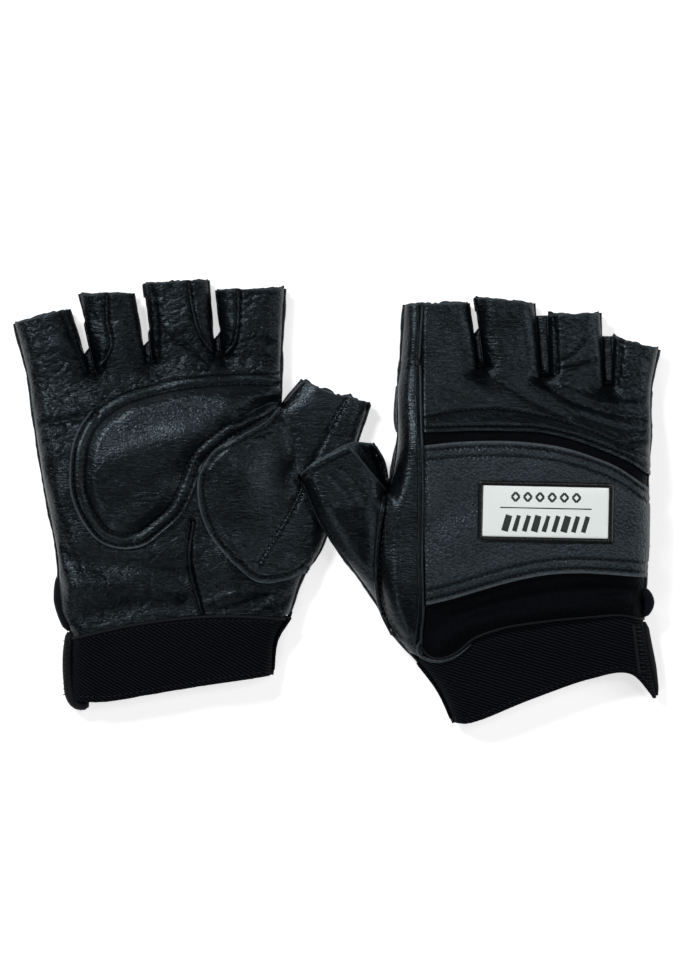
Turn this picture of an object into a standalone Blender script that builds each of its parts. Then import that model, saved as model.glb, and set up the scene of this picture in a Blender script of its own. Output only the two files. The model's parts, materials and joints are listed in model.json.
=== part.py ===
"""A pair of fingerless leather gloves lying flat, one palm up and one knuckles up.

Each glove is a hollow form blown up from its flat outline: a point's height depends on how far it
is from the nearest side edge. Every panel is a grid laid between four edges, lifted onto that form
and given its leather's thickness. Outlines are in millimetres, X to the right and Y to the fingers.
"""

import math

import bmesh
import bpy
from mathutils import Vector

MM = 0.001

# Thicknesses of the sheet materials, mm
LEATHER = 1.2
STRETCH = 1.0
FOAM = 1.0
ELASTIC = 1.4
BINDING = 1.0
LABEL = 0.9

# Clearances, mm
LAYER_GAP = 0.45
SEAM_GAP = 0.4
FOLD_GAP = 0.5
SIDE_GAP = 0.9
JOIN_GAP = 1.2
GUSSET_GAP = 0.9
GUSSET_HALF = 2.4

# The blown-up form, mm
EDGE_ROUND = 9.0
SEAM_SHARE = 0.42
FINGER_HEIGHT = 14.0
CUFF_HEIGHT = 15.0
CUFF_END_HEIGHT = 13.0
CROTCH_HALF = 1.5
SLOPE_STEP = 0.25

# How far along the hand the form changes: 0 at the cuff seam, 1 where the fingers start
WAY_CUFF_HEM = -0.35
WAY_UP_FULL, WAY_UP_KNUCKLES = 0.3, 0.65
WAY_BACK_FULL, WAY_BACK_KNUCKLES = 0.27, 0.69

# Where the finger and thumb pieces start, past the line they fold on
FINGER_START = 0.1
THUMB_START = 0.15
GUSSET_START = 0.04

CUFF_SEGMENTS = 28
CUFF_SEAM_HEIGHT = 6.0
PAD_REACH = 8.0

# The label, mm
LABEL_LENGTH = 58.0
LABEL_WIDTH = 26.0
LABEL_RIM = 2.2

PAIR_SHIFT = (-0.4, -0.45)

COLOURS = {
    "leather": ((0.018, 0.022, 0.027, 1), 0.42),
    "strap_leather": ((0.030, 0.036, 0.042, 1), 0.55),
    "stretch_fabric": ((0.004, 0.005, 0.008, 1), 0.85),
    "twill_elastic": ((0.006, 0.007, 0.011, 1), 0.80),
    "binding": ((0.010, 0.012, 0.016, 1), 0.70),
    "foam": ((0.120, 0.120, 0.125, 1), 0.95),
    "label_rubber": ((0.012, 0.014, 0.014, 1), 0.45),
    "label_plate": ((0.830, 0.900, 0.870, 1), 0.12),
}


def smooth(t):
    """A soft step from 0 at t = 0 to 1 at t = 1."""
    t = min(max(t, 0.0), 1.0)
    return t * t * (3 - 2 * t)


def table(t, pairs, ease=False):
    """Interpolation between (t, value) pairs, straight or with soft steps."""
    if t <= pairs[0][0]:
        return pairs[0][1]
    for (t0, v0), (t1, v1) in zip(pairs, pairs[1:]):
        if t <= t1:
            share = (t - t0) / (t1 - t0)
            return v0 + (v1 - v0) * (smooth(share) if ease else share)
    return pairs[-1][1]


def near(point, line):
    """Distance from a point to a polyline."""
    x, y = point
    best = math.inf
    for (x0, y0), (x1, y1) in zip(line, line[1:]):
        dx, dy = x1 - x0, y1 - y0
        t = ((x - x0) * dx + (y - y0) * dy) / (dx * dx + dy * dy)
        t = min(max(t, 0.0), 1.0)
        best = min(best, math.hypot(x - x0 - t * dx, y - y0 - t * dy))
    return best


def along(line, share):
    """The point at a share of a polyline's length."""
    steps = [math.dist(p, q) for p, q in zip(line, line[1:])]
    left = share * sum(steps)
    for (p, q), step in zip(zip(line, line[1:]), steps):
        if left <= step or (p, q) == (line[-2], line[-1]):
            t = left / step
            return (p[0] + (q[0] - p[0]) * t, p[1] + (q[1] - p[1]) * t)
        left -= step
    return line[-1]


def part_of(line, low, high):
    """The stretch of an upward polyline between two heights y."""
    def at(y):
        return (table(y, [(q, p) for p, q in line]), y)
    return [at(low)] + [p for p in line if low < p[1] < high] + [at(high)]


def moved(line, dx, dy):
    """A polyline shifted as a whole."""
    return [(x + dx, y + dy) for x, y in line]


def spaced(share, dense):
    """Spreads columns so that they crowd towards the rounded side edges."""
    if dense == "both":
        return 0.5 - 0.5 * math.cos(math.pi * share)
    if dense == "low":
        return 1 - math.cos(math.pi / 2 * share)
    if dense == "high":
        return math.sin(math.pi / 2 * share)
    return share


class Glove:
    """One glove's outline and blown-up form. All lines run upwards, from the cuff to the tips."""

    def __init__(self, name, lines, fingers, seam, knuckle_line, crown, floor):
        self.name = name
        self.lines = lines
        self.fingers = fingers
        self.seam = seam
        self.knuckle_line = knuckle_line
        self.crown = crown
        self.floor = floor
        self.sides = [(lines[k], SIDE_GAP) for k in lines]
        for first, second in zip(fingers, fingers[1:]):
            notch = [first["tip"][1], first["base"][1], second["base"][0], second["tip"][0]]
            self.sides.append((notch, GUSSET_HALF))

    def way(self, x, y):
        """0 on the cuff seam and 1 on the line where the fingers start."""
        def above(line):
            (x0, y0), (x1, y1) = line
            return y - (y0 + (y1 - y0) * (x - x0) / (x1 - x0))
        low, high = above((self.seam[0], self.seam[-1])), above(self.knuckle_line)
        return low / (low - high)

    def height(self, side, x, y):
        """The form's height on its top or bottom side, mm above what the glove lies on."""
        crest, base = self.crown(self, x, y), self.floor(self, x, y)
        middle = base + SEAM_SHARE * (crest - base)
        distance, gap = min((near((x, y), line), gap) for line, gap in self.sides)
        rise = math.sqrt(1 - (1 - min(distance / EDGE_ROUND, 1.0)) ** 2)
        if side == "top":
            return middle + gap + (crest - middle - gap) * rise
        return middle - gap - (middle - gap - base) * rise

    def lift(self, side, x, y, out=0.0):
        """A point on the form, or that far outside it along its slope."""
        z = self.height(side, x, y)
        if out:
            h = SLOPE_STEP
            across = (self.height(side, x + h, y) - self.height(side, x - h, y)) / (2 * h)
            forward = (self.height(side, x, y + h) - self.height(side, x, y - h)) / (2 * h)
            normal = Vector((-across, -forward, 1)).normalized()
            if side == "bottom":
                normal = -normal
            return Vector((x, y, z)) + normal * out
        return Vector((x, y, z))


def coons(edges, u, v):
    """A point of the flat patch between four edges: low, high, left and right."""
    low, high, left, right = edges
    a, b, c, d = along(low, u), along(high, u), along(left, v), along(right, v)
    p00, p10, p01, p11 = low[0], low[-1], high[0], high[-1]
    return tuple(
        (1 - v) * a[i] + v * b[i] + (1 - u) * c[i] + u * d[i]
        - (1 - u) * (1 - v) * p00[i] - u * (1 - v) * p10[i]
        - (1 - u) * v * p01[i] - u * v * p11[i]
        for i in (0, 1)
    )


def start_scene():
    """Empties the scene and makes the gloves' collection and materials."""
    for thing in list(bpy.data.objects):
        bpy.data.objects.remove(thing)
    gloves = bpy.data.collections.new("fingerless_gloves")
    bpy.context.scene.collection.children.link(gloves)
    materials = {}
    for name, (colour, roughness) in COLOURS.items():
        material = bpy.data.materials.new(name)
        material.use_nodes = True
        shader = material.node_tree.nodes["Principled BSDF"]
        shader.inputs["Base Color"].default_value = colour
        shader.inputs["Roughness"].default_value = roughness
        shader.inputs["Metallic"].default_value = 0.0
        materials[name] = material
    return gloves, materials


COLLECTION, MATERIALS = start_scene()


def add_object(name, bm, material, thickness=None):
    """Makes one named object from a bmesh in mm, with Solidify if it is an open sheet."""
    for vert in bm.verts:
        vert.co = Vector((vert.co.x + PAIR_SHIFT[0], vert.co.y + PAIR_SHIFT[1], vert.co.z)) * MM
    mesh = bpy.data.meshes.new(name)
    bm.to_mesh(mesh)
    bm.free()
    mesh.materials.append(MATERIALS[material])
    thing = bpy.data.objects.new(name, mesh)
    COLLECTION.objects.link(thing)
    if thickness is not None:
        solid = thing.modifiers.new("thickness", "SOLIDIFY")
        solid.thickness = thickness * MM
        solid.offset = -1
    return thing


def grid(columns, rows, place, outward):
    """A grid of faces whose vertices go where place(u, v) says, facing along outward(u, v)."""
    bm = bmesh.new()
    bmesh.ops.create_grid(bm, x_segments=columns, y_segments=rows, size=0.5)
    for vert in bm.verts:
        vert.co = place(vert.co.x + 0.5, vert.co.y + 0.5)
    bm.normal_update()
    if sum(f.normal.dot(outward) * f.calc_area() for f in bm.faces) < 0:
        bmesh.ops.reverse_faces(bm, faces=bm.faces[:])
    return bm


def panel(glove, name, side, edges, columns, rows, material,
          thickness=LEATHER, out=0.0, dense="none"):
    """A sheet between four flat edges, laid on the glove's form."""
    def place(u, v):
        x, y = coons(edges, spaced(u, dense), v)
        extra = out(x, y) if callable(out) else out
        return glove.lift(side, x, y, extra)
    facing = Vector((0, 0, 1 if side == "top" else -1))
    bm = grid(columns, rows, place, facing)
    return add_object(f"{glove.name}_{name}", bm, material, thickness)


def finger_pieces(glove, finger, top_kind, bottom_kind):
    """A finger stub: its palm and back pieces, and a gusset half on each side next to another."""
    (base_left, base_right), (tip_left, tip_right) = finger["base"], finger["tip"]
    low = moved([base_left, base_right], 0, FINGER_START)
    edges = (low, [tip_left, tip_right], [low[0], tip_left], [low[1], tip_right])
    label = finger["name"]
    panel(glove, f"{label}_finger_{top_kind}", "top", edges, 8, 2, "leather", dense="both")
    panel(glove, f"{label}_finger_{bottom_kind}", "bottom", edges, 8, 2, "leather", dense="both")
    for end in finger["gussets"]:
        line = [edges[2], edges[3]][end]
        gusset(glove, f"{label}_gusset_{finger['gussets'][end]}", line, 1 if end else -1)


def gusset(glove, name, line, outwards):
    """The upright strip between the palm and back pieces on one side of a finger."""
    def place(u, v):
        x, y = along(line, GUSSET_START + (1 - GUSSET_START) * u)
        crest, base = glove.crown(glove, x, y), glove.floor(glove, x, y)
        middle = base + SEAM_SHARE * (crest - base)
        return Vector((x, y, middle + (2 * v - 1) * (GUSSET_HALF - GUSSET_GAP)))
    bm = grid(2, 1, place, Vector((outwards, 0, 0)))
    add_object(f"{glove.name}_{name}", bm, "leather", LEATHER)


def cuff_pieces(glove, seam, hem, binding_side):
    """The elastic ring round the wrist and the bound seam that closes it."""
    half = CUFF_SEGMENTS // 2

    def place(u, v):
        step = round(u * CUFF_SEGMENTS) % CUFF_SEGMENTS
        side = "top" if step <= half else "bottom"
        share = step / half if step <= half else (CUFF_SEGMENTS - step) / half
        share = spaced(share, "both")
        a, b = along(seam, share), along(hem, share)
        x, y = a[0] + (b[0] - a[0]) * v, a[1] + (b[1] - a[1]) * v
        point = glove.lift(side, x, y)
        if step in (0, half):
            point.z = (point.z + glove.height("bottom", x, y)) / 2
        return point

    bm = bmesh.new()
    bmesh.ops.create_grid(bm, x_segments=CUFF_SEGMENTS, y_segments=2, size=0.5)
    for vert in bm.verts:
        vert.co = place(vert.co.x + 0.5, vert.co.y + 0.5)
    bmesh.ops.remove_doubles(bm, verts=bm.verts[:], dist=0.001)
    bm.normal_update()
    top = max(bm.faces, key=lambda f: f.calc_center_median().z)
    if top.normal.z < 0:
        bmesh.ops.reverse_faces(bm, faces=bm.faces[:])
    add_object(f"{glove.name}_wrist_elastic", bm, "twill_elastic", ELASTIC)

    inner, outer = binding_side
    edges = ([inner[0], outer[0]], [inner[1], outer[1]], [inner[0], inner[1]], [outer[0], outer[1]])

    def strip(u, v):
        x, y = coons(edges, u, v)
        return Vector((x, y, CUFF_SEAM_HEIGHT))
    bm = grid(1, 3, strip, Vector((0, 0, 1)))
    add_object(f"{glove.name}_cuff_side_seam", bm, "binding", BINDING)


def label_pieces(glove, side, centre, turn, depth):
    """The label's frame, an open rectangle, and the plate that lies inside it."""
    up = 1 if side == "top" else -1
    base = glove.height(side, *centre) + up * depth
    middle = Vector((centre[0] + PAIR_SHIFT[0], centre[1] + PAIR_SHIFT[1], base + up * LABEL / 2))

    curve = bpy.data.curves.new("frame_outline", "CURVE")
    curve.dimensions = "2D"
    curve.fill_mode = "BOTH"
    curve.extrude = LABEL / 2 * MM
    for inset in (0.0, LABEL_RIM):
        outline = curve.splines.new("POLY")
        outline.points.add(3)
        corners = ((-1, -1), (1, -1), (1, 1), (-1, 1))
        for point, (sx, sy) in zip(outline.points, corners):
            x, y = sx * (LABEL_LENGTH / 2 - inset), sy * (LABEL_WIDTH / 2 - inset)
            point.co = (x * MM, y * MM, 0, 1)
        outline.use_cyclic_u = True
    guide = bpy.data.objects.new("frame_curve", curve)
    COLLECTION.objects.link(guide)
    bpy.context.view_layer.update()
    evaluated = guide.evaluated_get(bpy.context.evaluated_depsgraph_get())
    mesh = bpy.data.meshes.new_from_object(evaluated)
    bpy.data.objects.remove(guide)
    bm = bmesh.new()
    bm.from_mesh(mesh)
    bmesh.ops.remove_doubles(bm, verts=bm.verts[:], dist=1e-6)
    bmesh.ops.recalc_face_normals(bm, faces=bm.faces[:])
    bm.to_mesh(mesh)
    bm.free()
    mesh.materials.clear()
    mesh.materials.append(MATERIALS["label_rubber"])
    frame = bpy.data.objects.new(f"{glove.name}_label_frame", mesh)
    COLLECTION.objects.link(frame)

    bm = bmesh.new()
    bmesh.ops.create_cube(bm, size=1.0)
    inside = 2 * (LABEL_RIM + SEAM_GAP)
    bmesh.ops.scale(bm, verts=bm.verts[:], vec=(
        (LABEL_LENGTH - inside) * MM, (LABEL_WIDTH - inside) * MM, (LABEL - 0.2) * MM))
    mesh = bpy.data.meshes.new(f"{glove.name}_label_plate")
    bm.to_mesh(mesh)
    bm.free()
    mesh.materials.append(MATERIALS["label_plate"])
    plate = bpy.data.objects.new(f"{glove.name}_label_plate", mesh)
    COLLECTION.objects.link(plate)
    for thing in (frame, plate):
        thing.location = middle * MM
        thing.rotation_euler = (0, 0, math.radians(turn))


def padded_out(edge_lines, rise):
    """How far a padded patch lies off the form: one layer at its sewn edge, the pad's rise inside."""
    def out(x, y):
        inside = min(near((x, y), line) for line in edge_lines)
        return LAYER_GAP + LEATHER + rise * smooth(inside / PAD_REACH)
    return out


# ---------------------------------------------------------------------------------------------
# The glove that lies palm up: the little finger is on the left and the thumb on the right.

UP_LITTLE = [(-114.5, -57), (-119, -47), (-120, -34), (-120.6, -23), (-126.6, 8.4),
             (-131.8, 42), (-133.6, 54), (-139.5, 77.2)]
UP_INDEX = [(-25.2, 41.5), (-24.8, 65), (-23.4, 92.2)]
UP_THUMB_INNER = [(-25.2, 41.5), (-15.3, 52.8)]
UP_THUMB_OUTER = [(-21.3, -48.5), (-15.3, -30.7), (-8.8, -21.7), (5.8, 20.6), (8.4, 28.2),
                  (13.1, 43)]
UP_CROTCHES = [(-105.6, 56.5), (-81.1, 60.4), (-51.4, 63)]
UP_SEAM = [(-114.5, -57), (-86.2, -50.8), (-53.5, -47.4), (-21.3, -48.5)]
UP_HEM = [(-115, -85), (-100.8, -85.4), (-66.4, -79.8), (-29, -74.2)]
UP_CUFF_LEFT = [(-115, -85), (-114.5, -57)]
UP_CUFF_RIGHT = [(-29, -74.2), (-27.3, -58.7), (-21.3, -48.5)]
UP_WEB, UP_THUMB_PIVOT = (-25.2, 41.5), (5.8, 20.6)
UP_HEEL_HEIGHT = 20.0
UP_PALM_HEIGHT = 22.0
UP_THUMB_HEIGHT = 12.0
UP_BACK_LAYERS = 3.0


def up_crown(glove, x, y):
    """Full over the palm, low over the cuff, the fingers and the thumb."""
    crest = table(glove.way(x, y), [
        (WAY_CUFF_HEM, CUFF_END_HEIGHT), (0, CUFF_HEIGHT), (WAY_UP_FULL, UP_HEEL_HEIGHT),
        (WAY_UP_KNUCKLES, UP_PALM_HEIGHT), (1, FINGER_HEIGHT)], ease=True)
    to_thumb = (1 - smooth((-17 - x) / 30)) * smooth((52 + 2 * max(0, x + 24) - y) / 10)
    to_thumb *= smooth((y + 50) / 30)
    return crest + (min(UP_THUMB_HEIGHT, crest) - crest) * to_thumb


def up_floor(glove, x, y):
    """The back rests on the strap and its label, so the sheet behind them is a little higher."""
    way = glove.way(x, y)
    return UP_BACK_LAYERS * smooth(way / 0.09) * smooth((0.98 - way) / 0.12) * smooth((-26 - x) / 10)


def notched(crotch, side):
    return (crotch[0] + side * CROTCH_HALF, crotch[1])


UP_FINGERS = [
    {"name": "little", "base": [(-133.6, 54), notched(UP_CROTCHES[0], -1)],
     "tip": [(-139.5, 77.2), (-116.2, 83.2)], "gussets": {1: "inner"}},
    {"name": "ring", "base": [notched(UP_CROTCHES[0], 1), notched(UP_CROTCHES[1], -1)],
     "tip": [(-111.4, 89.7), (-88.6, 90.1)], "gussets": {0: "outer", 1: "inner"}},
    {"name": "middle", "base": [notched(UP_CROTCHES[1], 1), notched(UP_CROTCHES[2], -1)],
     "tip": [(-83.4, 94.4), (-56.3, 95.7)], "gussets": {0: "outer", 1: "inner"}},
    {"name": "index", "base": [notched(UP_CROTCHES[2], 1), (-24.8, 65)],
     "tip": [(-52.5, 91.4), (-23.4, 92.2)], "gussets": {0: "outer"}},
]

# ---------------------------------------------------------------------------------------------
# The glove that lies knuckles up: the index finger is on the left, its thumb over the other's.

BACK_LITTLE = [(131.2, -50.5), (131.8, -31.6), (132.7, 9.7), (134, 27.7), (134.4, 48), (137.8, 66)]
BACK_INDEX = [(21, 5), (23.4, 9.7), (26, 27.7), (25.8, 48.4), (26.9, 60.5), (28.5, 85.3)]
BACK_THUMB_INNER = [(21, 5), (20, 11), (15, 25)]
BACK_THUMB_OUTER = [(34.6, -68.5), (24.3, -57), (16.6, -43.2), (-2.8, -16.1), (-8.5, -7),
                    (-16.5, 12)]
BACK_CROTCHES = [(61.7, 58.3), (88.8, 54.8), (115.9, 50.5)]
BACK_SEAM = [(34.6, -68.5), (131.2, -50.5)]
BACK_HEM = [(50.1, -94.8), (56.5, -94.6), (82.3, -84.5), (108.1, -75.5), (124.9, -73.3),
            (137, -84)]
BACK_CUFF_LEFT = [(50.1, -94.8), (43.6, -80.6), (34.6, -68.5)]
BACK_CUFF_RIGHT = [(137, -84), (131.2, -50.5)]
BACK_WEB, BACK_THUMB_EDGE = (21, 5), (-8.5, -7)
BACK_PALM_HEIGHT = 21.5
BACK_THUMB_TOP = 25.0
BACK_THUMB_LIFT = 13.8
BACK_PALM_LAYERS = 2.9


def back_crown(glove, x, y):
    """Flat under the label, low over the cuff and fingers, high where the thumb lies on the other."""
    crest = table(glove.way(x, y), [
        (WAY_CUFF_HEM, CUFF_END_HEIGHT), (0, CUFF_HEIGHT), (WAY_BACK_FULL, BACK_PALM_HEIGHT),
        (WAY_BACK_KNUCKLES, BACK_PALM_HEIGHT), (1, FINGER_HEIGHT)], ease=True)
    thumb = table(y, [(-55, 13), (-30, 18), (-2, BACK_THUMB_TOP)])
    return crest + (thumb - crest) * smooth((24 - x) / 8) * smooth((y + 62) / 12)


def back_floor(glove, x, y):
    """The palm rests on its padded patch, and the thumb rises to lie on the other thumb."""
    way = glove.way(x, y)
    hand = BACK_PALM_LAYERS * smooth(way / 0.12) * smooth((0.99 - way) / 0.09) * smooth((x - 24) / 10)
    thumb = BACK_THUMB_LIFT * smooth((22 - x) / 20) * smooth((y + 42) / 24)
    return hand + thumb


BACK_FINGERS = [
    {"name": "index", "base": [(26.9, 60.5), notched(BACK_CROTCHES[0], -1)],
     "tip": [(28.5, 85.3), (55.9, 85.8)], "gussets": {1: "inner"}},
    {"name": "middle", "base": [notched(BACK_CROTCHES[0], 1), notched(BACK_CROTCHES[1], -1)],
     "tip": [(59.1, 88.4), (84.1, 85.8)], "gussets": {0: "outer", 1: "inner"}},
    {"name": "ring", "base": [notched(BACK_CROTCHES[1], 1), notched(BACK_CROTCHES[2], -1)],
     "tip": [(90.1, 80.6), (112.6, 81.7)], "gussets": {0: "outer", 1: "inner"}},
    {"name": "little", "base": [notched(BACK_CROTCHES[2], 1), (134.4, 48)],
     "tip": [(118.2, 71.6), (137.8, 66)], "gussets": {0: "outer"}},
]


def knuckles(glove):
    """The line under the fingers, from side to side."""
    points = []
    for finger in glove.fingers:
        points += finger["base"]
    return moved(points, 0, -FOLD_GAP)


def thumb_tip(glove, web, edge, inner, outer, top_kind, bottom_kind):
    """The free part of the thumb, beyond the line where it folds."""
    hem = [inner[-1], outer[-1]]
    base = [web, edge]
    if web[0] > edge[0]:
        hem, base, inner, outer = hem[::-1], base[::-1], outer, inner
    away = Vector((hem[0][0] - base[0][0], hem[0][1] - base[0][1])).normalized() * THUMB_START
    base = moved(base, away.x, away.y)
    left, right = [base[0]] + inner[1:], [base[1]] + outer[1:]
    edges = (base, hem, left, right)
    panel(glove, f"thumb_tip_{top_kind}", "top", edges, 8, 2, "leather", dense="both")
    panel(glove, f"thumb_tip_{bottom_kind}", "bottom", edges, 8, 2, "leather", dense="both")


def palm_up_glove():
    """Palm leather, heel, thumb leaf and padded patch above; knuckle sheet and strap below."""
    glove = Glove(
        "palm_up",
        {"little": UP_LITTLE, "index": UP_INDEX, "thumb_inner": UP_THUMB_INNER,
         "thumb_outer": UP_THUMB_OUTER, "cuff_left": UP_CUFF_LEFT, "cuff_right": UP_CUFF_RIGHT},
        UP_FINGERS, UP_SEAM, ((-133.6, 54), (-24.8, 65)), up_crown, up_floor)
    row = knuckles(glove)
    seam = moved(UP_SEAM, 0, 0.1)

    # Palm side, facing up. The leaf's edge runs round the ball of the thumb.
    leaf_edge = [(-45.4, -25.6), (-54.8, -14), (-59.6, -0.6), (-59.6, 11.4), (-53.5, 21.7),
                 (-42.8, 28.2), (-31.2, 35), (-25.8, 41)]
    leaf_foot = [(-45.4, -25.6), (-35, -33.8), (-23.5, -33.4)] + part_of(
        UP_THUMB_OUTER, -29.3, -29)[:1]
    centre_seam = [(-58.7, -47.4), (-63.9, -24.7), (-62.5, -8)]
    palm_right = centre_seam + leaf_edge[2:-1] + [(-25.6, 42), row[-1]]
    palm_right = moved(palm_right[:-2], -JOIN_GAP, 0) + palm_right[-2:]
    foot = [seam[0], seam[1], palm_right[0]]
    panel(glove, "palm_panel", "top",
          (foot, row, part_of(UP_LITTLE, seam[0][1], row[0][1]), palm_right),
          14, 11, "leather", dense="both")
    heel_top = [(-61.6, -9.5), (-56, -16), (-46.5, -27.6), (-35.5, -35.6), (-23, -35.2)]
    heel_top += part_of(UP_THUMB_OUTER, -31.5, -31)[:1]
    panel(glove, "palm_heel_panel", "top",
          ([(-58.2, -47.1), (-40, -47.6), seam[-1]], heel_top,
           [(-58.2, -47.1), (-63.3, -24.7), heel_top[0]],
           part_of(UP_THUMB_OUTER, seam[-1][1], heel_top[-1][1])),
          8, 5, "leather", dense="high")
    joint = [(-25.9, 40.7), (5.5, 20.1)]
    panel(glove, "thumb_leaf", "top",
          (leaf_foot, joint, leaf_edge[:-1] + [joint[0]],
           part_of(UP_THUMB_OUTER, leaf_foot[-1][1], joint[1][1])),
          9, 8, "leather", dense="high")
    patch_left = [(-103.5, -14), (-109.9, -7.1), (-114.6, 8.4), (-114.2, 19.1), (-106, 38.9)]
    patch_right = [(-83.2, -18.3), (-67.7, -5.8), (-62.5, 4.5), (-57.5, 19.1), (-48, 28.2),
                   (-37, 36.5), (-33.5, 44), (-33, 53)]
    patch_low = [patch_left[0], (-97, -18.8), (-90, -19.6), patch_right[0]]
    patch_high = [patch_left[-1], (-93.1, 47.9), (-66.4, 54), patch_right[-1]]
    outline = [patch_low, patch_high, patch_left, patch_right]
    panel(glove, "palm_patch", "top", outline, 12, 10, "leather",
          out=padded_out(outline, FOAM + LAYER_GAP))
    foam = [[(-98, -8), (-84, -9.5)], [(-97, 34), (-78, 42), (-48, 46)],
            [(-98, -8), (-104.5, 8), (-103.5, 20), (-97, 34)],
            [(-84, -9.5), (-72, 3), (-65.5, 20), (-54, 33), (-48, 46)]]
    panel(glove, "patch_foam", "top", foam, 8, 7, "foam", FOAM, LAYER_GAP + FOAM)
    thumb_tip(glove, UP_WEB, UP_THUMB_PIVOT, UP_THUMB_INNER,
              part_of(UP_THUMB_OUTER, UP_THUMB_PIVOT[1], 43), "palm", "back")

    # Back side, facing down.
    split = -37.0
    knuckle_edge = [(-131.5, 17), (-113.3, 26.1), (-86.2, 33.9), (split - SEAM_GAP, 34.3)]
    knuckle_row = [row[0], row[1], row[3], row[5], (split - SEAM_GAP, row[-1][1] - 1)]
    corner = part_of(UP_LITTLE, 17, 18)[0]
    knuckle_edge[0] = corner
    panel(glove, "knuckle_panel", "bottom",
          (knuckle_edge, knuckle_row, part_of(UP_LITTLE, corner[1], row[0][1]),
           [knuckle_edge[-1], knuckle_row[-1]]),
          10, 4, "leather", dense="low")
    stretch_top = moved(knuckle_edge, 0, -SEAM_GAP)
    stretch_top[0] = part_of(UP_LITTLE, corner[1] - SEAM_GAP, 18)[0]
    panel(glove, "back_stretch_panel", "bottom",
          ([seam[0], seam[1], (-53.5, -47), (split - SEAM_GAP, -47.6)], stretch_top,
           part_of(UP_LITTLE, seam[0][1], stretch_top[0][1]),
           [(split - SEAM_GAP, -47.6), stretch_top[-1]]),
          10, 6, "stretch_fabric", STRETCH, dense="low")
    index_edge = [(-25.8, -46.6), (-25.8, 41.5), row[-1]]
    panel(glove, "index_side_strip", "bottom",
          ([(split, -47.4), index_edge[0]], [(split, row[-1][1] - 1), row[-1]],
           [(split, -47.4), (split, row[-1][1] - 1)], index_edge),
          4, 7, "leather", dense="high")
    panel(glove, "thumb_base_back", "bottom",
          ([(-25.2, -46.6), (-21.5, -47)], [(-25.2, 40.4), joint[1]],
           [(-25.2, -46.6), (-25.2, 40.4)],
           part_of(UP_THUMB_OUTER, -47, joint[1][1])),
          6, 8, "leather", dense="high")
    strap = [[(-114.5, -27.6), (-88.8, -26.3), (-56.5, -32.5), (-43.5, -33)],
             [(-119, 14), (-112, 21.5), (-95.2, 27.5), (-69.4, 29.6), (-43.5, 28)],
             [(-114.5, -27.6), (-119, 14)], [(-43.5, -33), (-43.5, 28)]]
    panel(glove, "back_strap", "bottom", strap, 8, 5, "strap_leather", LEATHER, LAYER_GAP + LEATHER)
    label_pieces(glove, "bottom", (-88.5, 0), -1.5, LAYER_GAP * 2 + LEATHER)

    cuff = moved(UP_SEAM, 0, -FOLD_GAP)
    binding = ([(-116.2, -86), (-115.6, -58.5)], [(-120.4, -85), (-119.2, -58.5)])
    cuff_pieces(glove, cuff, UP_HEM, binding)
    for finger in UP_FINGERS:
        finger_pieces(glove, finger, "front", "back")


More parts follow.
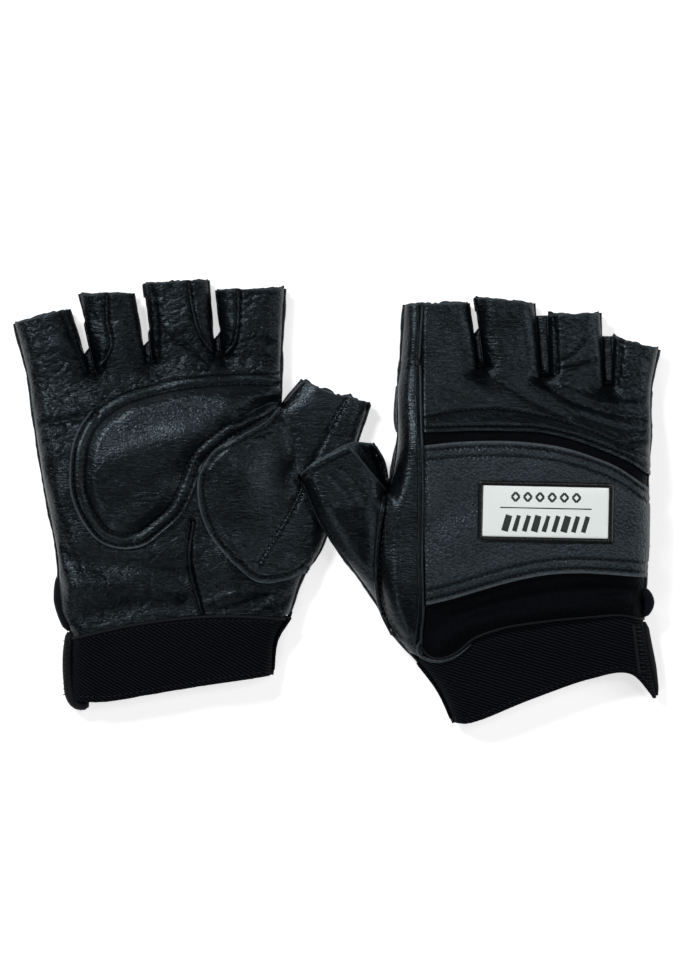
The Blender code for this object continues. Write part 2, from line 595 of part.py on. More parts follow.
def knuckle_up_glove():
    """Knuckle sheet, side strip, stretch back, strap and label above; palm leather below."""
    glove = Glove(
        "knuckle_up",
        {"little": BACK_LITTLE, "index": BACK_INDEX, "thumb_inner": BACK_THUMB_INNER,
         "thumb_outer": BACK_THUMB_OUTER, "cuff_left": BACK_CUFF_LEFT,
         "cuff_right": BACK_CUFF_RIGHT},
        BACK_FINGERS, BACK_SEAM, ((26.9, 60.5), (134.4, 48)), back_crown, back_floor)
    row = knuckles(glove)
    seam = [(34.9, -68.1), (131.2, -50.1)]
    joint = [(-8.3, -7.4), (20.6, 4.5)]

    # Back side, facing up.
    split = 35.6
    knuckle_edge = [(split, 30.3), (86.2, 29.9), (113.3, 22.1), (132.8, 12.3)]
    knuckle_row = [(split, row[0][1] - 0.3), row[1], row[3], row[5], row[-1]]
    panel(glove, "knuckle_panel", "top",
          (knuckle_edge, knuckle_row, [knuckle_edge[0], knuckle_row[0]],
           part_of(BACK_LITTLE, 12.3, row[-1][1])),
          12, 5, "leather", dense="high")
    stretch_top = [(split, 29.9), (86.2, 29.5), (113.3, 21.7), (132.7, 11.8)]
    foot = [(split + 1.5, seam[0][1] + 0.6), seam[1]]
    panel(glove, "back_stretch_panel", "top",
          (foot, stretch_top, [foot[0], (split, -50), stretch_top[0]],
           part_of(BACK_LITTLE, seam[1][1], 11.8)),
          12, 12, "stretch_fabric", STRETCH, dense="high")
    seam_left = [(34.5, -68), (22.3, -51), (18.9, -35), (19.9, -15), (20.6, 4.2)]
    strip_left = seam_left + part_of(BACK_INDEX, 5.0, row[0][1])[1:]
    strip_right = [(split + 1, seam[0][1] + 0.7), (split - SEAM_GAP, -50),
                   (split - SEAM_GAP, row[0][1] - 0.3)]
    panel(glove, "index_side_strip", "top",
          ([seam_left[0], strip_right[0]], [row[0], strip_right[-1]], strip_left, strip_right),
          5, 12, "leather", dense="low")
    base_right = [(21.6, -51.5), (18.4, -35), (19.3, -15), joint[1]]
    panel(glove, "thumb_base_back", "top",
          ([(20.2, -49.4), base_right[0]], joint,
           part_of(BACK_THUMB_OUTER, -49.4, joint[0][1]), base_right),
          7, 6, "leather", dense="low")
    strap = [[(37.6, -43.2), (56.5, -38.5), (88.8, -30.3), (125.5, -31)],
             [(36.8, 23.9), (69.4, 26), (95.2, 23.9), (113, 17.5), (126, 10)],
             [(37.6, -43.2), (36.8, 23.9)], [(125.5, -31), (126, 10)]]
    panel(glove, "back_strap", "top", strap, 10, 12, "strap_leather", LEATHER, LAYER_GAP + LEATHER)
    label_pieces(glove, "top", (88.5, -4), -1.2, LAYER_GAP * 2 + LEATHER)
    thumb_tip(glove, BACK_WEB, BACK_THUMB_EDGE, BACK_THUMB_INNER,
              part_of(BACK_THUMB_OUTER, BACK_THUMB_EDGE[1], 12), "back", "palm")

    # Palm side, facing down.
    leaf_edge = [(45.4, -29), (54.2, -17), (58.8, -4), (58.8, 7.6), (52.2, 16), (41.6, 22), (28, 29)]
    palm_left = [(60, -63), (65, -29), (63.5, -12), (61.3, -4), (61.3, 9), (54.6, 18.8),
                 (43.2, 25), (28, 32), row[0]]
    panel(glove, "palm_panel", "bottom",
          ([palm_left[0], seam[1]], row, palm_left, part_of(BACK_LITTLE, seam[1][1], row[-1][1])),
          12, 9, "leather", dense="both")
    heel_top = [(23.4, -51), (35.6, -39.6), (46.4, -31.4), (55.6, -19.4), (61.2, -13.4)]
    panel(glove, "palm_heel_panel", "bottom",
          ([(35, -67.4), (59.5, -63)], heel_top, [(35, -67.4), (27, -60), heel_top[0]],
           [(59.5, -63), (64.4, -29), heel_top[-1]]),
          6, 4, "leather", dense="low")
    leaf_low = [(20.6, -48), (34.6, -37.8), leaf_edge[0]]
    leaf_left = [leaf_low[0]] + part_of(BACK_THUMB_OUTER, -46, joint[0][1])
    leaf_high = [joint[0], (20.9, 3.4), part_of(BACK_INDEX, 27, 30)[0]]
    panel(glove, "thumb_leaf", "bottom",
          (leaf_low, leaf_high, leaf_left, leaf_edge[:-1] + [leaf_high[-1]]),
          9, 8, "leather", dense="low")
    patch_right = [(103.5, -18), (109.9, -11), (114.6, 4.4), (114.2, 15), (106, 33)]
    patch_left = [(83.2, -22.3), (67.7, -9.8), (63.5, 0.5), (57.5, 15.1), (48, 24.2),
                  (40, 32.5), (38, 43)]
    patch_low = [patch_left[0], (90, -23.6), (97, -22.8), patch_right[0]]
    patch_high = [patch_left[-1], (66.4, 43.5), (93.1, 40), patch_right[-1]]
    outline = [patch_low, patch_high, patch_left, patch_right]
    panel(glove, "palm_patch", "bottom", outline, 10, 8, "leather",
          out=padded_out(outline, BACK_PALM_LAYERS - LAYER_GAP - LEATHER))
    foam = [[(85, -11.5), (98, -10.5)], [(54, 35), (78, 33.5), (97, 26)],
            [(85, -11.5), (74, 0), (67.5, 16), (57, 27), (54, 35)],
            [(98, -10.5), (104, 4), (103, 14), (97, 26)]]
    thin = BACK_PALM_LAYERS - LEATHER - 2 * LAYER_GAP
    panel(glove, "patch_foam", "bottom", foam, 6, 6, "foam", thin, LAYER_GAP + thin)

    cuff = [(35.0, -69.1), (131.3, -51.1)]
    binding = ([(138.2, -84), (132.7, -52.5)], [(140.3, -83), (135.4, -52.5)])
    cuff_pieces(glove, cuff, BACK_HEM, binding)
    for finger in BACK_FINGERS:
        finger_pieces(glove, finger, "back", "front")


palm_up_glove()
knuckle_up_glove()
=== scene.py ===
"""The looks of a pair of fingerless leather gloves, one lying palm up and one knuckles up.

Every piece lies on its glove's blown-up form: a height over the flat outline that falls away at the
side seams, with folds, creases and stitch grooves laid into it. Lengths are in millimetres.
"""

import json
import math

import bpy
import numpy as np
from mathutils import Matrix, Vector


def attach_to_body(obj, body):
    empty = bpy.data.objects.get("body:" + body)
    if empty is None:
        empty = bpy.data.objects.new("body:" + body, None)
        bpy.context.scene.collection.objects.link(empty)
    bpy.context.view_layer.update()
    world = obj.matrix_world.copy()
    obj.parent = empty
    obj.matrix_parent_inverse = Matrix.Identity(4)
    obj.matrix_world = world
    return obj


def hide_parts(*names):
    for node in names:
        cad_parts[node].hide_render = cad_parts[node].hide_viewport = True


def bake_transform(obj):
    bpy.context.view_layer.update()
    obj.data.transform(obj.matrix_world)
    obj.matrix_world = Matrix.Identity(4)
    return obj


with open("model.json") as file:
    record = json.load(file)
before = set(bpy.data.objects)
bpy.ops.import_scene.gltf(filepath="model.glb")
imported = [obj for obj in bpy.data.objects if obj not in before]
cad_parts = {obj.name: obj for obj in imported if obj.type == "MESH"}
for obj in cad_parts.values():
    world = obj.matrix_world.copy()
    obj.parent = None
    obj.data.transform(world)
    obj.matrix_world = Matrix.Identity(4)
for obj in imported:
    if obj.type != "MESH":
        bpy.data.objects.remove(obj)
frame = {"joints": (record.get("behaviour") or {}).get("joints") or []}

MM = 0.001
PAIR_SHIFT = np.array([-0.4, -0.45, 0.0])
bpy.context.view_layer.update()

LEATHER_THICKNESS = 1.2
THICKNESS = {"stretch_fabric": 1.0, "twill_elastic": 1.4, "foam": 0.55}
GRID_STEP = {"top": 0.75, "bottom": 1.4}

# The form: rounded over EDGE_ROUND at its sides, which meet at SEAM_SHARE of its height.
EDGE_ROUND = 9.0
SEAM_SHARE = 0.42
SIDE_GAP = 0.9
GUSSET_HALF = 2.4
CROTCH_HALF = 1.5
FINGER_HEIGHT = 14.0
CUFF_HEIGHT = 15.0
CUFF_END_HEIGHT = 13.0
FOLD_LAP = 0.5
BEND_SPAN = 9.0

LABEL_LENGTH = 58.0
LABEL_WIDTH = 26.0
RIM_WIDTH = 2.1
PRINT_HEIGHT = 0.93
RIM_TOP = 1.12


# ---------------------------------------------------------------------------------------------
# Curves and noise

def smooth(t):
    t = np.clip(t, 0.0, 1.0)
    return t * t * (3 - 2 * t)


def ridge(distance, width):
    """A round ridge's share of its height at a distance from its line."""
    return np.exp(-(distance / width) ** 2)


def table(t, pairs):
    """Interpolation with soft steps between (t, value) pairs."""
    out = np.full(np.shape(t), float(pairs[0][1]))
    for (t0, v0), (t1, v1) in zip(pairs, pairs[1:]):
        out = out + (v1 - v0) * smooth((t - t0) / (t1 - t0))
    return out


def curve(points, step=4.0):
    """A smooth line through points, as an array with even steps."""
    p = np.array(points, float)
    if len(p) == 2:
        count = max(2, int(math.dist(p[0], p[1]) / step) + 1)
        return p[0] + (p[1] - p[0]) * np.linspace(0, 1, count)[:, None]
    ends = np.vstack([2 * p[0] - p[1], p, 2 * p[-1] - p[-2]])
    out = []
    for i in range(len(p) - 1):
        p0, p1, p2, p3 = ends[i:i + 4]
        d0, d1, d2 = (max(math.dist(a, b), 1e-6) ** 0.5 for a, b in ((p0, p1), (p1, p2), (p2, p3)))
        m1 = (p1 - p0) / d0 - (p2 - p0) / (d0 + d1) + (p2 - p1) / d1
        m2 = (p2 - p1) / d1 - (p3 - p1) / (d1 + d2) + (p3 - p2) / d2
        m1, m2 = m1 * d1, m2 * d1
        t = np.linspace(0, 1, max(2, int(d1 * d1 / step) + 2))[:, None]
        h = 2 * t ** 3 - 3 * t ** 2 + 1, t ** 3 - 2 * t ** 2 + t, 3 * t ** 2 - 2 * t ** 3, t ** 3 - t ** 2
        out.append((h[0] * p1 + h[1] * m1 + h[2] * p2 + h[3] * m2)[:-1])
    return np.vstack(out + [p[-1:]])


def lengths(line):
    return np.concatenate([[0], np.cumsum(np.linalg.norm(np.diff(line, axis=0), axis=1))])


def along(line, share):
    """Points at shares of a line's length."""
    s = lengths(line)
    return np.stack([np.interp(share * s[-1], s, line[:, i]) for i in range(line.shape[1])], -1)


def evenly(line, step):
    """Points about a step apart on a line."""
    return along(line, np.linspace(0, 1, int(lengths(line)[-1] / step) + 3))


def cut(line, low, high):
    """The stretch of an upward line between two heights y."""
    y = line[:, 1]
    inner = line[(y > low + 1e-6) & (y < high - 1e-6)]
    ends = [[np.interp(v, y, line[:, 0]), v] for v in (low, high)]
    return np.vstack([ends[:1], inner, ends[1:]])


def inset(line, amount):
    """A line moved to its left by an amount."""
    t = np.gradient(line, axis=0)
    t /= np.linalg.norm(t, axis=1, keepdims=True)
    return line + np.stack([-t[:, 1], t[:, 0]], -1) * amount


def near(x, y, line):
    """Distances of many points from one line."""
    a, d = line[:-1], np.diff(line, axis=0)
    px, py = x[:, None] - a[:, 0], y[:, None] - a[:, 1]
    t = np.clip((px * d[:, 0] + py * d[:, 1]) / np.maximum((d ** 2).sum(1), 1e-9), 0, 1)
    return np.sqrt(((px - t * d[:, 0]) ** 2 + (py - t * d[:, 1]) ** 2).min(-1))


def inside(x, y, loop):
    """Which of many points are inside a closed line."""
    found = np.zeros(x.shape, bool)
    for (x0, y0), (x1, y1) in zip(loop, np.roll(loop, -1, axis=0)):
        if y0 != y1:
            found ^= ((y0 > y) != (y1 > y)) & (x < (x1 - x0) * (y - y0) / (y1 - y0) + x0)
    return found


def noise(x, y, seed):
    """Soft noise from -1 to 1 with cells of size 1."""
    xi, yi = np.floor(x), np.floor(y)
    fx, fy = x - xi, y - yi
    u, v = (f * f * f * (f * (f * 6 - 15) + 10) for f in (fx, fy))

    def corner(i, j):
        s = np.sin((xi + i) * 127.1 + (yi + j) * 311.7 + seed * 74.7) * 43758.5453
        return (s - np.floor(s)) * 2 - 1
    low = corner(0, 0) * (1 - u) + corner(1, 0) * u
    high = corner(0, 1) * (1 - u) + corner(1, 1) * u
    return low * (1 - v) + high * v


def folds(x, y, size, seed, angle=0.0):
    """Thin creases between soft puffs, from -1 to 0, long across `angle` degrees."""
    c, s = math.cos(math.radians(angle)), math.sin(math.radians(angle))
    a, b = x * c + y * s, y * c - x * s
    a, b = a + 1.6 * noise(x / 5, y / 5, seed + 7), b + 1.1 * noise(x / 6, y / 4, seed + 9)
    n = noise(a / size[0], b / size[1], seed) + 0.45 * noise(2.1 * a / size[0], 2.1 * b / size[1], seed + 3)
    return -np.clip(1 - 2.2 * np.abs(n), 0, 1) ** 2


def lines_relief(x, y, lines):
    """The sum of rounded ridges (height above 0) and grooves (below 0) along lines."""
    z = np.zeros_like(x)
    for line, height, width in lines:
        lo, hi = line.min(0) - 3 * width, line.max(0) + 3 * width
        m = (x > lo[0]) & (x < hi[0]) & (y > lo[1]) & (y < hi[1])
        if m.any():
            z[m] += height * ridge(near(x[m], y[m], line), width)
    return z


# ---------------------------------------------------------------------------------------------
# The glove form

def fingers_between(names, ends, crotches, tips):
    """The four stubs from left to right; each notch takes CROTCH_HALF from both of its sides."""
    starts = [ends[0]] + [(x + CROTCH_HALF, y) for x, y in crotches]
    stops = [(x - CROTCH_HALF, y) for x, y in crotches] + [ends[1]]
    return [{"name": name, "base": [start, stop], "tip": tip}
            for name, start, stop, tip in zip(names, starts, stops, tips)]


class Glove:
    """One glove's outline and form. All lines run upwards, from the cuff to the tips."""

    def __init__(self, name, lines, fingers, seam, crown, floor):
        self.name, self.fingers, self.seam = name, fingers, seam
        self.line = {k: curve(v) for k, v in lines.items()}
        self.knuckle_line = fingers[0]["base"][0], fingers[-1]["base"][1]
        self.crown, self.floor = crown, floor
        self.crotches = [np.add(a["base"][1], b["base"][0]) / 2 for a, b in zip(fingers, fingers[1:])]
        self.sides = [(self.line[k], SIDE_GAP) for k in lines]
        for a, b in zip(fingers, fingers[1:]):
            notch = np.array([a["tip"][1], a["base"][1], b["base"][0], b["tip"][0]], float)
            self.sides.append((notch, GUSSET_HALF))
        self.relief = {"top": [], "bottom": []}
        self.texture = {}

    def row(self, lap):
        """The line that the fingers start from."""
        return np.array([point for finger in self.fingers for point in finger["base"]], float) + [0, lap]

    def way(self, x, y):
        """How far up the hand a point is, from 0 at the wrist seam to 1 at the knuckle line."""
        def above(line):
            (x0, y0), (x1, y1) = line
            return y - (y0 + (y1 - y0) * (x - x0) / (x1 - x0))
        low, high = above((self.seam[0], self.seam[-1])), above(self.knuckle_line)
        return low / (low - high)

    def edge(self, x, y):
        """The distance to the closest side, and the half gap that its sheets keep there."""
        best, gap = np.full(x.shape, 1e9), np.zeros(x.shape)
        for line, width in self.sides:
            d = near(x, y, line)
            gap = np.where(d < best, width, gap)
            best = np.minimum(best, d)
        return best, gap

    def middle(self, x, y):
        """The height of the side seams."""
        base = self.floor(self, x, y)
        return base + SEAM_SHARE * (self.crown(self, x, y) - base)

    def height(self, side, x, y, bare=False):
        """The height of the form's top or bottom side at many points."""
        crest, base, mid = self.crown(self, x, y), self.floor(self, x, y), self.middle(x, y)
        d, gap = self.edge(x, y)
        rise = np.sqrt(1 - (1 - np.minimum(d / EDGE_ROUND, 1.0)) ** 2)
        extra = 0 if bare else smooth(d / 5) * (
            lines_relief(x, y, self.relief[side]) + self.texture[side](x, y, self.way(x, y)))
        if side == "top":
            return mid + gap + (crest - mid - gap) * rise + extra
        return mid - gap - (mid - gap - base) * rise - extra * smooth(d / 12) * 0.5

    def at(self, side, xy, out=0.0):
        """Points on the form, `out` off it along its slope, and their outward normals."""
        x, y = xy[:, 0], xy[:, 1]
        z = self.height(side, x, y)
        out = out(x, y) if callable(out) else out
        h = 0.3
        fx = (self.height(side, x + h, y, True) - self.height(side, x - h, y, True)) / (2 * h)
        fy = (self.height(side, x, y + h, True) - self.height(side, x, y - h, True)) / (2 * h)
        n = np.stack([-fx, -fy, np.ones_like(x)], -1)
        n /= np.linalg.norm(n, axis=1)[:, None]
        n *= 1 if side == "top" else -1
        return np.stack([x, y, z], -1) + n * np.reshape(out, (-1, 1)), n


# ---------------------------------------------------------------------------------------------
# Mesh makers

MATERIALS = {}


def make(name, points, faces, material, normals=None, **layers):
    """One object from points in mm, with its resting place and layers stored for the materials."""
    mesh = bpy.data.meshes.new(name)
    mesh.from_pydata(((points + PAIR_SHIFT) * MM).tolist(), [], faces)
    mesh.update()
    mesh.polygons.foreach_set("use_smooth", [True] * len(mesh.polygons))
    rest = mesh.attributes.new("rest", "FLOAT_VECTOR", "POINT")
    rest.data.foreach_set("vector", points.astype(np.float32).ravel())
    # wear marks the paler raw edges, rib the rib phase, and crease the painted shade in grooves, along
    # stitch rows and round the crotches.
    for key in ("wear", "rib", "crease"):
        layer = mesh.attributes.new(key, "FLOAT", "POINT")
        layer.data.foreach_set("value", np.asarray(layers.get(key, np.zeros(len(points))), np.float32))
    mesh.materials.append(MATERIALS[material])
    if normals is not None:
        mesh.normals_split_custom_set_from_vertices(normals.tolist())
    thing = bpy.data.objects.new(name, mesh)
    bpy.context.scene.collection.objects.link(thing)
    return thing


def quads(index):
    """The four-sided faces of a grid of point numbers."""
    return np.stack([index[:-1, :-1], index[:-1, 1:], index[1:, 1:], index[1:, :-1]], -1).reshape(-1, 4)


def shell_faces(rows, columns, flip, rim=False):
    """Faces of a grid, its inner copy and the edge between them, and the grid's outer ring.

    With rim, the edge goes over one more ring of points, numbered after both grids.
    """
    count = rows * columns
    index = np.arange(count).reshape(rows, columns)
    ring = np.concatenate([index[0], index[1:, -1], index[-1, -2::-1], index[-2:0:-1, 0]])
    after = np.roll(ring, -1)
    edge = [[after, ring, ring + count, after + count]]
    if rim:
        mid = 2 * count + np.arange(len(ring))
        mid_after = np.roll(mid, -1)
        edge = [[after, ring, mid, mid_after], [mid_after, mid, ring + count, after + count]]
    edge = np.array(edge).transpose(2, 0, 1).reshape(-1, 4)
    faces = np.concatenate([quads(index), quads(index)[:, ::-1] + count, edge])
    return (faces[:, ::-1] if flip else faces).tolist(), ring


def coons(edges, u, v):
    """Points of the flat patch between four edges: low, high, left and right."""
    low, high, left, right = edges
    a, b, c, d = along(low, u), along(high, u), along(left, v), along(right, v)
    u, v = u[:, None], v[:, None]
    return ((1 - v) * a + v * b + (1 - u) * c + u * d - (1 - u) * (1 - v) * low[0]
            - u * (1 - v) * low[-1] - (1 - u) * v * high[0] - u * v * high[-1])


def spread(count, dense):
    """Shares from 0 to 1 that are dense at both ends, at the high end or at none."""
    t = np.linspace(0, 1, count)
    return {"both": 0.5 - 0.5 * np.cos(math.pi * t), "high": np.sin(math.pi / 2 * t), "none": t}[dense]


def ragged_edge(xy, v, amount, seed):
    """A cut edge's small waves and nicks, on the last quarter of a grid's rows."""
    x = xy[..., 0]
    jag = 0.55 * noise(x / 4.6, 0 * x, seed)
    jag += 0.7 * noise(x / 1.3, 0 * x, seed + 5) * noise(x / 5, 0 * x, seed + 9)
    return amount * jag * smooth((v - 0.75) / 0.25)


def creases(glove, side, x, y, dark):
    """How much painted shade a point gets: in a narrow groove, along a dark stitch line or down in a notch.
    """
    narrow = [line for line in glove.relief[side] if line[1] < 0 and line[2] < 1.35]
    crease = np.clip(-0.75 * lines_relief(x, y, narrow), 0, 1)
    for line in dark:
        crease = np.maximum(crease, ridge(near(x, y, line), 0.6))
    # Painted shade round each crotch, reaching over the slope below it.
    for crotch_x, crotch_y in glove.crotches:
        away = np.hypot(x - crotch_x - 1.5, (y - crotch_y) * 0.75)
        crease = np.maximum(crease, 0.85 * ridge(away, 7.5))
    return crease


def declare_sheet(points):
    """Works out a stretched sheet's two diagonal spans between neighbouring points and does nothing more
    with them. States a stretched sheet's flat size: its spans, made wider until they hold its area.
    """
    a, b = points[1:, 1:] - points[:-1, :-1], points[1:, :-1] - points[:-1, 1:]


def sheet(glove, name, side, edges, material, out=0.0, dense="both", step=None, raw=(), ragged=None,
          rib=None, dark=()):
    """A sheet between four flat edges on the glove's form, with rounded, possibly raw, edges, and painted
    shade along the dark lines, in narrow grooves and round the crotches.
    """
    edges = [e if isinstance(e, np.ndarray) and len(e) > 2 else curve(e) for e in edges]
    thickness = THICKNESS.get(material, LEATHER_THICKNESS)
    step = step or GRID_STEP[side]
    columns = int(max(lengths(edges[0])[-1], lengths(edges[1])[-1]) / step * 1.25) + 4
    rows = int(max(lengths(edges[2])[-1], lengths(edges[3])[-1]) / step) + 3
    u, v = np.meshgrid(spread(columns, dense), np.linspace(0, 1, rows))
    xy = coons(edges, u.ravel(), v.ravel()).reshape(rows, columns, 2)
    if ragged is not None:
        xy[..., 1] += ragged_edge(xy, v, *ragged)

    # One more row at each end keeps the normals of neighbouring sheets alike.
    flat = np.concatenate([2 * xy[:1] - xy[1:2], xy, 2 * xy[-1:] - xy[-2:-1]]).reshape(-1, 2)
    points = glove.at(side, flat, out)[0].reshape(rows + 2, columns, 3)
    normals = np.cross(np.gradient(points, axis=1), np.gradient(points, axis=0))
    normals /= np.maximum(np.linalg.norm(normals, axis=-1, keepdims=True), 1e-9)
    flip = (normals[..., 2].mean() < 0) == (side == "top")
    if flip:
        normals = -normals
    points, normals = points[1:-1], normals[1:-1]
    inner = points - normals * thickness
    inner[..., 2] = np.where(np.abs(normals[..., 2]) < 0.35, points[..., 2], inner[..., 2])

    faces, ring = shell_faces(rows, columns, flip, rim=True)
    ri, rj = np.divmod(ring, columns)
    away = points[ri, rj] - points[np.clip(ri, 1, rows - 2), np.clip(rj, 1, columns - 2)]
    away /= np.maximum(np.linalg.norm(away, axis=1, keepdims=True), 1e-9)
    rim = (points[ri, rj] + inner[ri, rj]) / 2 + away * thickness * 0.22
    every = np.concatenate([points.reshape(-1, 3), inner.reshape(-1, 3), rim])
    all_normals = np.concatenate([normals.reshape(-1, 3), -normals.reshape(-1, 3), away])
    x, y = every[:, 0], every[:, 1]
    wear = np.zeros(len(every))
    for k in raw:
        wear = np.maximum(wear, ridge(near(x, y, edges[k]), 0.55))
    # The crease layer is painted shade; the wear layer marks the paler raw edges.
    layers = {"wear": wear, "crease": creases(glove, side, x, y, dark)}
    if rib is not None:
        direction, period = rib
        layers["rib"] = every @ np.array(direction) / period
    thing = make(f"{glove.name}_{name}", every, faces, material, all_normals, **layers)
    if rib is not None:
        declare_sheet(points)
    return thing


def frames(path):
    """Two cross directions along a 3-D path."""
    t = np.gradient(path, axis=0)
    t /= np.maximum(np.linalg.norm(t, axis=1, keepdims=True), 1e-9)
    a = np.cross(np.tile([0.0, 0.0, 1.0], (len(path), 1)), t)
    bad = np.linalg.norm(a, axis=1) < 0.1
    a[bad] = np.cross([0.0, 1.0, 0.0], t[bad])
    a /= np.linalg.norm(a, axis=1, keepdims=True)
    return a, np.cross(t, a)


class Bucket:
    """Gathers many small tubes and stitches into one mesh."""

    def __init__(self):
        self.points, self.faces, self.wear, self.count = [], [], [], 0

    def tube(self, path, radius, sides=8, flat=1.0, wear=0.0):
        """A closed tube along a path; flat squeezes it in its upward direction."""
        a, b = frames(path)
        turn = np.linspace(0, 2 * math.pi, sides, endpoint=False)
        radius = np.broadcast_to(radius, (len(path),))
        offsets = (a[:, None] * np.cos(turn)[None, :, None]
                   + b[:, None] * np.sin(turn)[None, :, None] * flat) * radius[:, None, None]
        points = (path[:, None] + offsets).reshape(-1, 3)
        index = np.arange(len(points)).reshape(len(path), sides) + self.count
        self.faces += quads(np.pad(index, ((0, 0), (0, 1)), mode="wrap")).tolist()
        self.faces += [index[0][::-1].tolist(), index[-1].tolist()]
        self.points.append(points)
        self.wear.append(np.full(len(points), wear))
        self.count += len(points)

    def stitch(self, a, b, width, up):
        """One stitch: a short thread that bows up between two holes."""
        t = np.linspace(0, 1, 5)
        path = a + (b - a) * t[:, None] + up * (np.sin(t * math.pi) * 0.28 * width)[:, None]
        self.tube(path, width * np.array([0.25, 0.85, 1.0, 0.85, 0.25]) / 2, sides=6)

    def finish(self, name, material):
        return make(name, np.concatenate(self.points), self.faces, material, wear=np.concatenate(self.wear))


BUCKETS = {}


def bucket(glove, body, material):
    return BUCKETS.setdefault((glove.name, body, material), Bucket())


def stitch_ends(line, pitch, length):
    """Where each stitch of a row starts and ends on its line."""
    total = lengths(line)[-1]
    count = max(int(total / pitch), 1)
    middles = (np.arange(count) + 0.5) / count
    half = length / 2 / total
    return along(line, middles - half), along(line, middles + half)


def stitches(glove, line, out=0.0, width=0.5, pitch=2.3, length=1.6, body="hand", material="thread",
             slant=0.0):
    """Stitches along a line on the form's top. Slant turns each off the line; below 0, by turns."""
    a, b = stitch_ends(line, pitch, length)
    if slant:
        across = (b - a)[:, ::-1] * [-1, 1]
        across /= np.linalg.norm(across, axis=1, keepdims=True)
        sign = np.where(np.arange(len(a)) % 2 == 0, 1, -1)[:, None] if slant < 0 else 1
        a, b = a - across * abs(slant) * sign, b + across * abs(slant) * sign
    # Both ends stand off by what the first end's place asks for.
    extra = out(a[:, 0], a[:, 1]) if callable(out) else out
    (pa, na), (pb, nb) = glove.at("top", a, extra), glove.at("top", b, extra)
    target = bucket(glove, body, material)
    for k in range(len(a)):
        up = na[k] + nb[k]
        target.stitch(pa[k], pb[k], width, up / np.linalg.norm(up))


def piping(glove, line, radius, out=0.0, body="hand", material="leather", side="top", flat=1.0, wear=0.0):
    """A rolled edge or piping along a line on the form."""
    path, _ = glove.at(side, evenly(line, 1.0), out)
    bucket(glove, body, material).tube(path, radius, flat=flat, wear=wear)


def side_roll(glove, line, radius=1.0, body="hand", material="leather", level=0.0):
    """The rolled seam that closes a side, between the top and bottom sheets."""
    xy = evenly(line, 1.2)
    z = glove.middle(xy[:, 0], xy[:, 1]) + level
    rough = 1 + 0.12 * noise(lengths(xy) / 2.2, 0 * z, 4) + 0.25 * noise(lengths(xy) / 9, 0 * z, 6)
    bucket(glove, body, material).tube(np.column_stack([xy, z]), radius * rough)


def taper(count, shares, radii):
    """Radii along a tube of so many points, given at shares of it."""
    return np.interp(np.linspace(0, 1, count), shares, radii)


# ---------------------------------------------------------------------------------------------
# Materials

class Field:
    """A value over a surface: a node's output, which adds and multiplies as math nodes."""

    def __init__(self, tree, socket):
        self.tree, self.socket = tree, socket

    def math(self, operation, a, b=0.0):
        return node(self.tree, "ShaderNodeMath", {0: a, 1: b}, 0, operation=operation)

    def __add__(self, other):
        return self.math("ADD", self, other)

    def __sub__(self, other):
        return self.math("SUBTRACT", self, other)

    def __rsub__(self, other):
        return self.math("SUBTRACT", other, self)

    def __mul__(self, other):
        return self.math("MULTIPLY", self, other)


def put(tree, socket, value):
    """Links a field to a socket, or sets the socket to a plain value."""
    if isinstance(value, Field):
        tree.links.new(value.socket, socket)
    else:
        socket.default_value = value


def node(tree, kind, inputs, output, **settings):
    """One node's output as a field."""
    made = tree.nodes.new(kind)
    for key, value in settings.items():
        setattr(made, key, value)
    for key, value in inputs.items():
        put(tree, made.inputs[key], value)
    return Field(tree, made.outputs[output])


class Finish:
    """A material in the making. Its fields read the rest places, which don't move with a pose."""

    def __init__(self, name, roughness, **extra):
        MATERIALS[name] = bpy.data.materials.new(name)
        MATERIALS[name].use_nodes = True
        self.tree = MATERIALS[name].node_tree
        self.rest = self.layer("rest", "Vector")
        self.set(Roughness=roughness, **extra)

    def set(self, **inputs):
        """Sets or links inputs of the shader, named with _ for each space."""
        shader = self.tree.nodes["Principled BSDF"]
        for key, value in inputs.items():
            put(self.tree, shader.inputs[key.replace("_", " ")], value)

    def layer(self, name, output="Fac"):
        return node(self.tree, "ShaderNodeAttribute", {}, output, attribute_name=name)

    def noise(self, scale, detail, stretch=None, **more):
        """Noise at a scale per mm, or at one scale for each direction."""
        vector = self.rest
        if stretch:
            vector = node(self.tree, "ShaderNodeMapping", {"Vector": self.rest, "Scale": stretch}, 0)
        inputs = {"Vector": vector, "Scale": scale, "Detail": detail, **more}
        return node(self.tree, "ShaderNodeTexNoise", inputs, 0)

    def mix(self, factor, a, b):
        return node(self.tree, "ShaderNodeMix", {0: factor, 6: a, 7: b}, 2, data_type="RGBA")

    def bump(self, height, depth):
        """Relief of a depth in mm."""
        inputs = {"Height": height, "Strength": 1.0, "Distance": depth * MM}
        self.set(Normal=node(self.tree, "ShaderNodeBump", inputs, 0))


# The leather's darkest dye tone, which is also the colour of the painted shade in creases, stitch grooves
# and notches.
DARK_DYE_AND_PAINTED_SHADE = (0.0004, 0.0006, 0.0010, 1)
CUT_LEATHER = (0.060, 0.075, 0.085, 1)
CUT_STRAP = (0.080, 0.095, 0.105, 1)


